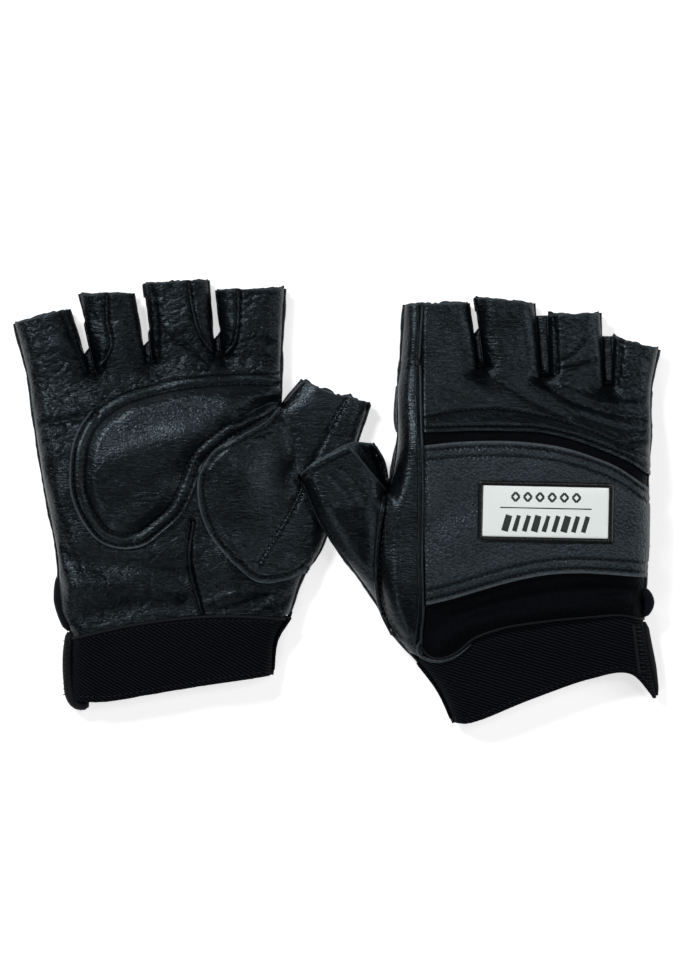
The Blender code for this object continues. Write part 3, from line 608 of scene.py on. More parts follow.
def leather(name, dark, light, roughness, gloss, crinkle, grain, grain_size, worn):
    """Grained leather: crinkles, pores, uneven dye, paler worn or cut edges, and painted shade from the
    crease layer.
    """
    finish = Finish(name, roughness, Specular_IOR_Level=gloss, Specular_Tint=(0.70, 0.88, 1.0, 1))
    broad, cloud = finish.noise(0.055, 3.0), finish.noise(0.4, 4.0)
    crease = finish.noise(1.0, 2.4, (0.28, 0.95, 0.6), Roughness=0.55, Distortion=0.9)
    cells = node(finish.tree, "ShaderNodeTexVoronoi", {"Vector": finish.rest, "Scale": 1 / grain_size,
                                                       "Randomness": 1.0}, "Distance")
    finish.bump(crease * crinkle + cells * -grain + finish.noise(2.6, 2.0) * 0.03, 0.5)

    grains = cells * (-0.5 - 1.2 * grain) + crease * 1.2
    tone = broad * 0.9 + cloud * 0.5 - 0.25 + grains * 0.22
    edge = finish.layer("wear") * (cloud + 0.35)
    # Painted shade: the crease layer darkens the colour in grooves, along stitch rows and round the
    # crotches, and dims the specular there.
    shade = finish.layer("crease") * 0.85
    dyed = finish.mix(edge, finish.mix(tone, dark, light), worn)
    glint = (1.0 - shade) * (grains * 0.4 + 0.75)
    finish.set(Base_Color=finish.mix(shade, dyed, DARK_DYE_AND_PAINTED_SHADE),
               Specular_IOR_Level=glint.math("MAXIMUM", glint, 0.05) * gloss,
               Roughness=cloud * 0.15 + (roughness - 0.07) + edge * 0.3)


def ribbed(name, dark, light, roughness, depth, sharp, cross):
    """Knit or twill: ribs from the rib layer, broken by fine cross threads, with painted shade in the
    grooves between lighter rib crests.
    """
    finish = Finish(name, roughness, Specular_IOR_Level=0.07)
    phase = finish.layer("rib") + finish.noise(0.25, 2.0) * 0.5
    wave = (phase.math("SINE", phase * (2 * math.pi)) + 1.0) * 0.5
    rib = wave.math("POWER", wave, sharp)
    fine = finish.noise(1.0, 2.0, cross)
    finish.bump(rib + fine * 0.5, depth)
    # Painted shade: the colour follows the rib relief, dark in the grooves and lighter on the crests.
    finish.set(Base_Color=finish.mix(rib * (fine + 0.3), dark, light))


def plain(name, dark, light, roughness, size, depth, **extra):
    """A plain finish with soft blotches and a fine surface."""
    finish = Finish(name, roughness, **extra)
    cloud = finish.noise(1 / size, 4.0)
    finish.set(Base_Color=finish.mix(cloud, dark, light))
    finish.bump(cloud, depth)


leather("leather", DARK_DYE_AND_PAINTED_SHADE, (0.0015, 0.0023, 0.0034, 1), 0.32, 0.36, 1.00, 0.14, 0.9, CUT_LEATHER)
leather("smooth_leather", DARK_DYE_AND_PAINTED_SHADE, (0.0018, 0.0029, 0.0041, 1), 0.32, 0.46, 0.60, 0.12, 0.9,
        CUT_LEATHER)
leather("strap_leather", (0.0062, 0.0080, 0.0102, 1), (0.0215, 0.0262, 0.0305, 1), 0.38, 0.60, 0.20, 0.60,
        1.15, CUT_STRAP)
ribbed("stretch_fabric", (0.0001, 0.0002, 0.0006, 1), (0.0050, 0.0066, 0.0110, 1), 0.7, 0.30, 2.0,
       (0.4, 3.2, 1.5))
ribbed("twill_elastic", (0.0001, 0.0001, 0.0005, 1), (0.0170, 0.0200, 0.0320, 1), 0.8, 0.25, 4.5,
       (1.6, 1.6, 1.6))
plain("binding", (0.0015, 0.0020, 0.0035, 1), (0.0060, 0.0070, 0.0100, 1), 0.7, 0.8, 0.15,
      Specular_IOR_Level=0.2)
plain("thread", (0.0012, 0.0016, 0.0026, 1), (0.0045, 0.0055, 0.0075, 1), 0.5, 0.3, 0.06,
      Specular_IOR_Level=0.3)
plain("foam", (0.10, 0.10, 0.105, 1), (0.14, 0.14, 0.145, 1), 0.95, 0.6, 0.2)
plain("label_rubber", (0.0008, 0.0014, 0.0014, 1), (0.0040, 0.0056, 0.0054, 1), 0.3, 1.5, 0.10)
# The plate's faint emission is painted light: a glow that brightens it beyond what the lamps give.
plain("label_plate", (0.90, 0.95, 0.93, 1), (0.94, 0.99, 0.97, 1), 0.22, 6.0, 0.03,
      Coat_Weight=0.4, Coat_Roughness=0.08, Emission_Color=(0.9, 1.0, 0.97, 1), Emission_Strength=0.1)
plain("label_ink", (0.010, 0.018, 0.016, 1), (0.030, 0.044, 0.040, 1), 0.4, 0.7, 0.05)


# ---------------------------------------------------------------------------------------------
# The form of the glove that lies palm up

UP_SEAM = [(-114.5, -57), (-86.2, -50.8), (-53.5, -47.4), (-21.3, -48.5)]
UP_HEM = [(-115, -85), (-100.8, -85.4), (-66.4, -79.8), (-29, -74.2)]
UP_FINGERS = fingers_between(
    ("little", "ring", "middle", "index"), [(-133.6, 54), (-24.8, 65)],
    [(-105.6, 56.5), (-81.1, 60.4), (-51.4, 63)],
    ([(-139.5, 77.2), (-116.2, 83.2)], [(-111.4, 89.7), (-88.6, 90.1)],
     [(-83.4, 94.4), (-56.3, 95.7)], [(-52.5, 91.4), (-23.4, 92.2)]))


def up_crown(glove, x, y):
    crest = table(glove.way(x, y), [(-0.35, CUFF_END_HEIGHT), (0, CUFF_HEIGHT), (0.3, 20),
                                    (0.65, 22), (1, FINGER_HEIGHT)])
    to_thumb = (1 - smooth((-17 - x) / 30)) * smooth((52 + 2 * np.maximum(0, x + 24) - y) / 10)
    to_thumb = to_thumb * smooth((y + 50) / 30)
    return crest + (np.minimum(12, crest) - crest) * to_thumb


def up_floor(glove, x, y):
    way = glove.way(x, y)
    return 3.0 * smooth(way / 0.09) * smooth((0.98 - way) / 0.12) * smooth((-26 - x) / 10)


A = Glove("palm_up", {
    "little": [(-114.5, -57), (-119, -47), (-120, -34), (-120.6, -23), (-126.6, 8.4),
               (-131.8, 42), (-133.6, 54), (-139.5, 77.2)],
    "index": [(-25.2, 41.5), (-24.8, 65), (-23.4, 92.2)],
    "thumb_inner": [(-25.2, 41.5), (-15.3, 52.8)],
    "thumb_outer": [(-21.3, -48.5), (-15.3, -30.7), (-8.8, -21.7), (5.8, 20.6), (8.4, 28.2), (13.1, 43)],
    "cuff_left": [(-115, -85), (-114.5, -57)],
    "cuff_right": [(-29, -74.2), (-27.3, -58.7), (-21.3, -48.5)],
}, UP_FINGERS, UP_SEAM, up_crown, up_floor)

UP_ROW = A.row(FOLD_LAP)
UP_ROW_LOW = A.row(0)
UP_WRIST = curve(UP_SEAM, 3) + [0, -0.6]
UP_CENTRE = curve([(-58.7, -48), (-63.9, -24.7), (-62, -8)], 2)
UP_LEAF_EDGE = curve([(-45.4, -25.6), (-54.8, -14), (-59.6, -0.6), (-59.6, 11.4), (-53.5, 21.7),
                      (-42.8, 28.2), (-31.2, 35), (-25.6, 40.9)], 2)
UP_LEAF_FOOT = curve([(-45.4, -25.6), (-35, -33.8), (-23.5, -33.4), (-13.7, -29)], 2)
UP_PATCH = curve([(-26.2, 56.4), (-36, 56.8), (-48, 56.4), (-66.4, 54.8), (-82, 51.5), (-93.1, 47.9),
                  (-106, 38.9), (-112.5, 28), (-114.8, 14), (-114, 3), (-109.9, -7.1), (-102.1, -16.6),
                  (-93.1, -19.6), (-83.2, -18.3), (-75, -12.5), (-67.7, -5.8), (-62.5, 4.5),
                  (-57.5, 16.5), (-48, 25.2), (-37, 31.8), (-27.5, 37.6)], 2)
UP_PATCH_LOOP = np.vstack([UP_PATCH, [(-26.2, 45)]])
UP_PATCH_ROWS = [inset(UP_PATCH, 1.3), inset(UP_PATCH[:-6], 6.0)]

# Folds, creases and stitch grooves: a line, its height and its width
A.relief["top"] = [(curve(points), height, width) for points, height, width in (
    ([(-131, 33), (-121, 34.6), (-111, 36.5), (-104, 37)], -1.1, 1.5),
    ([(-131, 37), (-121, 38.6), (-111, 40)], 0.7, 2.4),
    ([(-129, 24), (-119, 28), (-112, 29)], -0.6, 2.0),
    ([(-126, 12), (-119, 17)], -0.5, 2.2),
    ([(-120, -20), (-112, -25), (-96, -27), (-80, -27.5), (-66, -31)], -2.0, 3.6),
    ([(-118, -36), (-104, -35.5), (-88, -37), (-70, -40)], 1.6, 4.0),
    ([(-114, -50), (-100, -47), (-84, -44.5), (-66, -43.5)], -1.0, 3.0),
    ([(-58, -44), (-46, -39), (-36, -38)], 0.6, 1.8),
    ([(-50, -46), (-38, -42.5), (-30, -40)], -0.6, 1.3),
    ([(-36, -47), (-27, -42), (-19, -35)], 0.5, 1.2),
    ([(-29, -47.5), (-23, -43), (-17, -36.5)], -0.6, 1.1),
    ([(-24, -48), (-19.5, -43)], 0.5, 1.0),
    ([(-57, 17), (-46, 27.5), (-36, 33), (-26.5, 36.5)], -1.5, 2.4),
    ([(-41, 36.5), (-36, 39.5), (-29, 40.5)], -1.5, 3.4),
    ([(-108, 8), (-92, 20), (-74, 27), (-58, 31)], 0.7, 5.0),
    ([(-98, -4), (-84, 6), (-70, 12)], -0.5, 4.0),
    ([(-90, 38), (-72, 42), (-50, 44)], 0.5, 5.0),
    ([(-78, 67), (-71, 69.5), (-65, 67), (-60, 64)], -0.9, 1.3),
    ([(-77, 73), (-70, 71.5), (-64, 74)], -0.5, 1.2),
    ([(-48, 60), (-38, 62.5), (-28, 61.5)], -0.6, 1.6),
    ([(-46, 68), (-36, 70), (-28, 69)], -0.5, 1.2),
    ([(-130, 62), (-121, 64.5), (-113, 62.5)], -0.4, 1.0),
    ([(-24, 38), (-20, 27), (-19, 16)], -0.8, 2.4),
    ([(-62.5, -8), (-63.9, -24.7), (-58.7, -47.4)], -1.3, 1.1),
    ([(3.2, 44.1), (-1, 36.5), (-10.1, 19.1), (-16.6, 3.2), (-25, -12), (-33.8, -26.9)], -0.6, 1.2),
    ([(-99.5, 90), (-99.5, 78), (-97.5, 68), (-102, 58)], -1.3, 1.0),
    ([(-85.5, 90), (-86.5, 76), (-84, 62)], -0.9, 0.9),
    ([(-80.5, 94), (-78, 80), (-77.8, 62)], -0.9, 0.9),
    ([(-64.5, 95), (-62.5, 82), (-59.5, 72), (-54, 63.5)], -1.4, 1.1),
    ([(-43, 91.5), (-43.3, 76), (-45, 68), (-49, 62.5)], -1.4, 1.1),
    ([(-119.5, 82), (-114, 69), (-109, 56.5)], -1.0, 1.0),
)]


def up_texture(x, y, w):
    """Crinkled fingers and heel; the padded patch stays smooth."""
    off_patch = np.where(inside(x, y, UP_PATCH_LOOP), 1 - smooth(near(x, y, UP_PATCH) / 2), 1.0)
    return (0.6 * folds(x, y, (6.5, 1.8), 3, 4) * smooth((w - 0.60) / 0.18) * off_patch
            * smooth((-23 - x) / 3)
            + 0.32 * folds(x, y, (10, 3.2), 5, -8) * smooth((0.5 - w) / 0.3)
            + 0.9 * noise(x / 21, y / 13, 8)
            + 0.14 * noise(x / 7, y / 4.5, 21) * smooth((w - 0.45) / 0.2) * off_patch)


A.texture["top"] = up_texture
A.texture["bottom"] = lambda x, y, w: 0.3 * noise(x / 15, y / 11, 6)


# ---------------------------------------------------------------------------------------------
# The form of the glove that lies knuckles up

BACK_SEAM = [(34.6, -68.5), (131.2, -50.5)]
BACK_HEM = [(50.1, -94.8), (56.5, -94.6), (82.3, -84.5), (108.1, -75.5), (124.9, -73.3), (137, -84)]
BACK_FINGERS = fingers_between(
    ("index", "middle", "ring", "little"), [(26.9, 60.5), (134.4, 48)],
    [(61.7, 58.3), (88.8, 54.8), (115.9, 50.5)],
    ([(28.5, 85.3), (55.9, 85.8)], [(59.1, 88.4), (84.1, 85.8)],
     [(90.1, 80.6), (112.6, 81.7)], [(118.2, 71.6), (137.8, 66)]))


def back_crown(glove, x, y):
    crest = table(glove.way(x, y), [(-0.35, CUFF_END_HEIGHT), (0, CUFF_HEIGHT), (0.27, 21.5),
                                    (0.69, 21.5), (1, FINGER_HEIGHT)])
    thumb = np.interp(y, [-55, -30, -2], [13, 18, 25])
    return crest + (thumb - crest) * smooth((24 - x) / 8) * smooth((y + 62) / 12)


def back_floor(glove, x, y):
    way = glove.way(x, y)
    hand = 2.9 * smooth(way / 0.12) * smooth((0.99 - way) / 0.09) * smooth((x - 24) / 10)
    return hand + 13.8 * smooth((22 - x) / 20) * smooth((y + 42) / 24)


B = Glove("knuckle_up", {
    "little": [(131.2, -50.5), (131.8, -31.6), (132.7, 9.7), (134, 27.7), (134.4, 48), (137.8, 66)],
    "index": [(21, 5), (23.4, 9.7), (26, 27.7), (25.8, 48.4), (26.9, 60.5), (28.5, 85.3)],
    "thumb_inner": [(21, 5), (20, 11), (15, 25)],
    "thumb_outer": [(34.6, -68.5), (24.3, -57), (16.6, -43.2), (-2.8, -16.1), (-8.5, -7), (-16.5, 12)],
    "cuff_left": [(50.1, -94.8), (43.6, -80.6), (34.6, -68.5)],
    "cuff_right": [(137, -84), (131.2, -50.5)],
}, BACK_FINGERS, BACK_SEAM, back_crown, back_floor)

BACK_ROW = B.row(FOLD_LAP)
BACK_ROW_LOW = B.row(0)
STRIP_EDGE = 35.6
STRAP_TOP = curve([(36.3, 24), (52, 25.6), (69.4, 26), (83, 25.2), (95.2, 23.4), (108, 19.6),
                   (120, 14.6), (131.8, 6.2)], 2)
STRAP_FOOT = curve([(37.4, -43.4), (46, -41.5), (56.5, -38.5), (72, -34), (88.8, -30.6),
                    (103, -29.8), (114.6, -30.3), (131, -31.6)], 2)
STRAP_ROWS = [STRAP_TOP + [0.3, -1.9], STRAP_TOP + [0.3, -5.9], STRAP_FOOT + [0, 1.9], STRAP_FOOT + [0, 5.9]]
KNUCKLE_EDGE = curve([(35.8, 29.9), (60, 30.6), (76, 30.4), (86.2, 29.9), (100, 26.8), (113.3, 22.1),
                      (124, 17.5), (132.7, 12)], 2)
KNUCKLE_ROWS = [KNUCKLE_EDGE + [0, 2.3],
                curve([(36.5, 36.8), (52, 39.6), (69.4, 40.2), (90, 36.5), (108, 30.6), (122, 24.6),
                       (132, 19.8)], 2)]
KNIT_HEM = curve([(34.6, -60.5), (38.5, -65.8), (43.5, -67), (50.5, -64.6), (58, -58.5), (70, -54),
                  (88.8, -51), (108, -49.2), (121, -48.4), (131.2, -50.3)], 2)

B.relief["top"] = [(curve(points), height, width) for points, height, width in (
    ([(84, 55), (96, 46), (110, 40), (122, 37), (133, 36)], -0.9, 1.7),
    ([(96, 49), (108, 44), (121, 42), (133, 42)], 0.6, 1.8),
    ([(104, 37), (118, 32.5), (133, 30)], -0.7, 1.6),
    ([(70, 52), (84, 43), (98, 36)], -0.4, 1.5),
    ([(94, 57), (104, 58.5), (112, 62)], -0.6, 1.1),
    ([(95, 60), (101, 63), (106, 69)], -0.5, 1.0),
    ([(40, 56), (54, 52), (68, 46)], 0.35, 3.0),
    ([(120, 24), (128, 26.5), (134, 26)], -0.7, 1.2),
    ([(44, -60), (56, -52.5), (70, -49), (88, -46.5), (108, -44), (122, -43), (131, -45)], 3.2, 3.6),
    ([(50, -49), (70, -43), (92, -38.5), (112, -37), (126, -38)], -1.2, 2.2),
    ([(112, -41), (122, -39.5), (131, -38)], 1.0, 1.5),
    ([(35.4, 84), (35.4, 30.3), (36, 22.6), (35.8, -29), (36.2, -52), (34.6, -60)], -1.2, 1.1),
    ([(30.3, 83), (29.4, 55), (29, 30), (27.5, 5), (26, -20), (25.5, -38), (29, -55)], 0.7, 2.2),
    ([(20.6, 3), (18, -14), (17.6, -33), (21.5, -50), (27, -58)], -1.4, 1.2),
    ([(8, 6), (12, -8), (13, -24)], -0.6, 3.0),
    ([(-10, 4), (-2, -8), (6, -22), (14, -36)], 0.5, 4.0),
    ([(2, 14), (9, 7), (12, -1)], -0.4, 1.2),
    ([(-3, 11), (5, 2), (9, -8)], -0.3, 1.1),
    ([(58.6, 83), (61, 72), (63.5, 60)], -0.8, 0.9),
    ([(92.5, 80), (93.5, 68), (94, 56)], -0.9, 0.9),
    ([(121.5, 71), (121, 62), (119.5, 51)], -0.9, 0.9),
)]


def back_texture(x, y, w):
    """Slanting creases below the fingers and soft folds in the loose elastic."""
    return ((0.12 + 0.22 * smooth((x - 90) / 35)) * folds(x, y, (9, 2.2), 13, -38) * smooth((w - 0.70) / 0.1)
            + 0.22 * folds(x, y, (6, 1.6), 17, 8) * smooth((x - 118) / 10) * smooth((w - 0.6) / 0.1)
            + 0.7 * noise(x / 18, y / 14, 18) * smooth((x - 20) / 10)
            + 0.06 * noise(x / 7, y / 4.8, 25)
            + 0.45 * folds(x, y, (9, 3.2), 31, 62) * smooth((-w) / 0.1) * smooth((66 - x) / 14))


B.texture["top"] = back_texture
B.texture["bottom"] = lambda x, y, w: 0.3 * noise(x / 15, y / 11, 16)


# ---------------------------------------------------------------------------------------------
# Pieces both gloves have

JOINTS = {joint["child"]: joint for joint in frame["joints"]}


def bend_of(body, start, ahead=None):
    """Where a part starts and ends to follow its own body, as two points in metres."""
    axis = JOINTS[body]["axis"]
    ahead = np.array([*(ahead or (-axis[1], axis[0])), 0.0])
    ahead /= np.linalg.norm(ahead)
    pos = np.array(JOINTS[body]["pos_m"]) / MM
    return (pos + ahead * start) * MM, (pos + ahead * (start + BEND_SPAN)) * MM


BENDS = {f"{glove.name}_{finger['name']}": bend_of(f"{glove.name}_{finger['name']}", 1.7)
         for glove in (A, B) for finger in glove.fingers}
BENDS["palm_up_cuff"] = bend_of("palm_up_cuff", 4.6)
BENDS["knuckle_up_cuff"] = bend_of("knuckle_up_cuff", 0.8)
BENDS["palm_up_thumb"] = bend_of("palm_up_thumb", 0.4, (20.6, 31.4))
BENDS["knuckle_up_thumb"] = bend_of("knuckle_up_thumb", 0.6)


def attach(thing, glove, part, *nodes):
    """A hand piece rides the hand's body, any other piece stays where it lies, and the CAD nodes it stands
    for are hidden.
    """
    hand, body = f"{glove.name}_hand", f"{glove.name}_{part}"
    if part == "hand":
        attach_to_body(thing, hand)
    else:
        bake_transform(thing)
    for name in nodes:
        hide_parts(f"{glove.name}_{name}")
    return thing


def panel(glove, name, node_name, side, edges, material="leather", part="hand", **how):
    """A sewn panel that stands for one CAD node."""
    return attach(sheet(glove, f"skin_{name}", side, edges, material, **how), glove, part, node_name)


def finger_set(glove, place, kinds, material, reach):
    """One finger stub: top and bottom leather, walls in the notches, rolled seams and a hem."""
    finger = glove.fingers[place]
    name, tip = finger["name"], finger["tip"]
    low = np.array(finger["base"], float) + [0, -0.2]
    sides = [np.array([low[end], tip[end]], float) for end in (0, 1)]
    outer = {0: 0, len(glove.fingers) - 1: 1}.get(place)
    if outer is not None:
        sides[outer] = cut(glove.line[name], low[outer][1], tip[outer][1])
        low[outer] = sides[outer][0]
    edges = (low, np.array(tip, float), *sides)
    seed = 3 + len(name) + (0 if glove is A else 11)
    for side, kind, step, more in zip(("top", "bottom"), kinds, (0.7, 1.4), (0, 2)):
        panel(glove, f"{name}_{kind}", f"{name}_finger_{kind}", side, edges, material, name, out=0.04,
              raw=(1,), ragged=(0.9, seed + more), step=step)
    for end in (0, 1):
        if end == outer:
            side_roll(glove, sides[end], 1.0, name)
        else:
            notch_side(glove, place, end, low[end], sides[end], reach)
    if glove is B:
        hem = [along(line, np.array([0.90]))[0] for line in sides]
        hem = curve([hem[0] + [1.2, 0], np.mean(hem, axis=0), hem[1] + [-1.2, 0]], 2)
        stitches(glove, hem, out=0.1, body=name, width=0.45, pitch=2.2, length=1.5)


def notch_side(glove, place, end, low, line, reach):
    """A finger's gusset towards the next finger, its rolled seams and the roll at the crotch."""
    name = glove.fingers[place]["name"]
    way, word = (1, "inner") if end else (-1, "outer")
    crotch = np.array([low[0] + way * CROTCH_HALF, low[1] + 0.25])
    path = along(curve([crotch, line[0] + [0, 0.3], line[-1]], 2), np.linspace(0, 1, 24))
    beside = glove.fingers[place + way]["tip"][1 - end]
    halfway = np.array([crotch, np.add(line[-1], beside) / 2])
    # One wall fills the whole notch, so the wall across it stays hollow.
    room = -0.9 if end else 2 * near(path[:, 0], path[:, 1], halfway) + 0.6
    wall = gusset_wall(glove, f"wall_{name}_{word}", path, way, room, reach[place - 1 + end])
    attach(wall, glove, name, f"{name}_gusset_{word}")
    for level in (GUSSET_HALF, -GUSSET_HALF):
        side_roll(glove, path, 0.75, name, level=level)
    for level in (-1.2, 1.2) if end else ():
        side_roll(glove, curve([crotch + [-1.6, 1.0], crotch + [1.6, 1.0]], 1), 1.4, level=level)


def gusset_wall(glove, name, path, outwards, room, reach):
    """The soft wall of a notch. It bulges over the room up to `reach` along it, then is hollow."""
    mid = glove.middle(path[:, 0], path[:, 1])
    t = np.gradient(path, axis=0)
    t /= np.linalg.norm(t, axis=1, keepdims=True)
    across = np.stack([t[:, 1], -t[:, 0]], -1) * outwards
    levels = np.linspace(-1, 1, 9)
    points, inner = [], []
    for v in levels:
        web = smooth((reach - lengths(path)) / 8)
        bow = (room * web - 1.1 * (1 - web)) * (1 - v * v) ** 0.7
        bow = bow + 0.15 * (1 - web) * noise(lengths(path) / 3, np.full(len(path), v), 2)
        outer = path + across * bow[:, None]
        points.append(np.column_stack([outer, mid + v * GUSSET_HALF]))
        inner.append(np.column_stack([outer - across * 0.9, mid + v * GUSSET_HALF]))
    faces, _ = shell_faces(len(levels), len(path), outwards < 0)
    return make(f"{glove.name}_{name}", np.concatenate(points + inner), faces, "leather")


def tucked(x, y):
    """The elastic dips below the knit's hem, above a slanting line over the wrist seam."""
    return -1.3 * smooth((y - (-69.5 + (x - 34.6) * 0.1863)) / 8)


def cuff_set(glove, seam, hem, rib, knit_hem=None):
    """The elastic tube at the wrist, which may start under the knit's hem on top."""
    hem, sides = curve(hem, 2), []
    for end, key in ((0, "cuff_left"), (-1, "cuff_right")):
        line = glove.line[key][::-1]
        line = line - line[0] + seam[end]
        sides.append(line + (hem[end] - line[-1]) * np.linspace(0, 1, len(line))[:, None])
    edges, out = (seam, hem, *sides), 0.0
    if knit_hem is not None:
        edges = (knit_hem, hem, *(np.vstack([knit_hem[end], line]) for end, line in zip((0, -1), sides)))
        out = tucked
    top = sheet(glove, "elastic_top", "top", edges, "twill_elastic", out, step=0.8, rib=rib)
    low = sheet(glove, "elastic_bottom", "bottom", (seam, hem, *sides), "twill_elastic", step=1.5, rib=rib)
    attach(top, glove, "cuff", "wrist_elastic")
    attach(low, glove, "cuff")
    return *sides, hem


def cuff_fold(glove):
    """The folded hem down the cuff's side, with all that is gathered in its binding."""
    gathered = BUCKETS.pop((glove.name, "cuff", "binding"))
    attach(gathered.finish(f"{glove.name}_fold_cuff", "binding"), glove, "cuff", "cuff_side_seam")


def knit_roll(glove, path, radius):
    """The knit's bulge past the side seam at the wrist."""
    roll = Bucket()
    roll.tube(path, radius, sides=14, flat=1.5)
    attach(roll.finish(f"{glove.name}_roll_stretch", "stretch_fabric"), glove, "hand")


def foam_set(glove, side, edges, centre, patch_out):
    """The thin foam between the palm and its padded patch."""
    edges = [line * 0.78 + np.array(centre) * 0.22 for line in edges]
    thing = sheet(glove, "foam_patch", side, edges, "foam", lambda x, y: patch_out(x, y) - 1.3,
                  dense="none", step=1.5)
    attach(thing, glove, "hand", "patch_foam")


def outline(half_x, half_y, radius, n=6):
    """A rectangle with round corners, n points to a corner."""
    corners = []
    for k, (sx, sy) in enumerate(((1, 1), (-1, 1), (-1, -1), (1, -1))):
        for angle in k * math.pi / 2 + np.linspace(0, math.pi / 2, n):
            corners.append((sx * (half_x - radius) + radius * math.cos(angle),
                            sy * (half_y - radius) + radius * math.sin(angle)))
    return np.array(corners)


def label_set(glove, side, centre, turn, depth):
    """The label: a bevelled rubber rim with stitches, a white plate and a generic printed motif."""
    up = 1 if side == "top" else -1
    base = float(glove.height(side, np.array([centre[0]]), np.array([centre[1]]), True)[0]) + up * depth
    c, s = math.cos(math.radians(turn)), math.sin(math.radians(turn))

    def place(x, y, z):
        x, y, z = np.broadcast_arrays(x, y, z)
        return np.stack([centre[0] + x * c - y * s, centre[1] + x * s + y * c, base + up * z], -1)

    rim_profile = [(0, 0), (0, 0.75), (0.35, 1.05), (1.1, 1.15), (1.9, 1.0), (2.2, 0.7), (2.2, 0)]
    points = []
    for inward, z in rim_profile:
        ring = outline(LABEL_LENGTH / 2 - inward, LABEL_WIDTH / 2 - inward, max(1.2 - inward * 0.4, 0.3))
        points.append(place(ring[:, 0], ring[:, 1], z))
    index = np.arange(len(points) * len(ring)).reshape(len(points), len(ring))
    faces = quads(np.pad(index, (0, 1), mode="wrap"))
    rim = make(f"{glove.name}_rim_label", np.concatenate(points),
               (faces if up > 0 else faces[:, ::-1]).tolist(), "label_rubber")
    attach(rim, glove, "hand", "label_frame")

    columns, rows = 56, 26
    gx, gy = np.meshgrid(np.linspace(-1, 1, columns), np.linspace(-1, 1, rows))
    x, y = gx * (LABEL_LENGTH / 2 - RIM_WIDTH), gy * (LABEL_WIDTH / 2 - RIM_WIDTH)
    swell = 0.72 + 0.22 * (1 - gx ** 6) * (1 - gy ** 4) + 0.03 * noise(gx * 5, gy * 4, 3)
    points = np.concatenate([place(x, y, swell).reshape(-1, 3), place(x, y, 0.1).reshape(-1, 3)])
    plate = make(f"{glove.name}_face_label", points, shell_faces(rows, columns, up < 0)[0], "label_plate")
    attach(plate, glove, "hand", "label_plate")
    attach(label_print(place).finish(f"{glove.name}_print_label", "label_ink"), glove, "hand")

    ring = outline(LABEL_LENGTH / 2 - 1.1, LABEL_WIDTH / 2 - 1.1, 0.8)
    for a, b in zip(*stitch_ends(np.vstack([ring, ring[:1]]), 2.3, 1.8)):
        bucket(glove, "hand", "thread").stitch(place(*a, RIM_TOP), place(*b, RIM_TOP), 0.7,
                                               np.array([0, 0, up]))


def label_print(place):
    """A rule, nine slanted bars below it and six small diamonds above it."""
    ink = Bucket()

    def bar(x0, y0, x1, y1, width):
        path = place(np.linspace(x0, x1, 12), np.linspace(y0, y1, 12), PRINT_HEIGHT)
        ink.tube(path, width / 2, flat=0.18 / width)
    bar(-19.5, 1.6, 19.5, 1.6, 0.55)
    for k in range(9):
        bar(-17.5 + 4.2 * k, -8.4, -15.6 + 4.2 * k, -1.6, 2.0 if k % 3 else 2.9)
    corners = ((1.7, 0), (0, 1.9), (-1.7, 0), (0, -1.9))
    for x in -13 + 5.2 * np.arange(6):
        for (ax, ay), (bx, by) in zip(corners, corners[1:] + corners[:1]):
            bar(x + ax, 6.3 + ay, x + bx, 6.3 + by, 1.0)
    return ink


# ---------------------------------------------------------------------------------------------
# Palm-up glove, pieces

def up_leaf_out(x, y):
    """How far the thumb leaf stands off the form: its cut edge laps over the palm."""
    d = np.minimum(near(x, y, UP_LEAF_EDGE), near(x, y, UP_LEAF_FOOT))
    return 0.25 + 1.15 * (1 - smooth((d - 0.6) / 6)) - 0.35 * ridge(d - 2.2, 0.8)


def up_palm():
    """The palm, the heel beside its centre seam, and the thumb leaf over both."""
    outer = A.line["thumb_outer"]
    under_leaf = inset(UP_LEAF_EDGE[8:], -2.4)[:-3]
    right = np.vstack([UP_CENTRE, [(-58.5, 4)], under_leaf[under_leaf[:, 1] > 6],
                       cut(A.line["index"], 41.8, UP_ROW[-1][1])])
    foot = np.vstack([UP_WRIST[UP_WRIST[:, 0] < -59.5], right[:1]])
    left = cut(A.line["little"], UP_WRIST[0][1], UP_ROW[0][1])
    foot[0] = left[0]
    panel(A, "palm", "palm_panel", "top", (foot, UP_ROW, left, right))

    right = cut(outer, -48, -27)
    foot = np.vstack([[(-58.7, -48)], UP_WRIST[UP_WRIST[:, 0] > -57]])
    foot[-1] = right[0]
    high = curve([(-62.2, -1), (-53, -4), (-42, -14), (-32, -22), (-20, -25.5), right[-1]], 2)
    left = np.vstack([UP_CENTRE, [(-62.2, -1)]])
    panel(A, "heel", "palm_heel_panel", "top", (foot, high, left, right), out=-0.05, step=0.8)

    high = curve([(-25.6, 40.9), (5.7, 20.4)], 2)
    right = cut(outer, UP_LEAF_FOOT[-1][1], high[-1][1])
    foot = np.vstack([UP_LEAF_FOOT[:-1], right[:1]])
    high[-1] = right[-1]
    # The dark lines are painted shade along the leaf's stitch row.
    panel(A, "leaf", "thumb_leaf", "top", (foot, high, UP_LEAF_EDGE, right), "smooth_leather",
          out=up_leaf_out, step=0.7, raw=(0, 2), dark=(inset(UP_LEAF_EDGE, -2.2), inset(UP_LEAF_FOOT, 2.2)))
    row = np.vstack([inset(UP_LEAF_EDGE[::-1], 2.2), inset(UP_LEAF_FOOT, 2.2)[3:]])
    stitches(A, row, out=up_leaf_out, pitch=2.2, length=1.5)


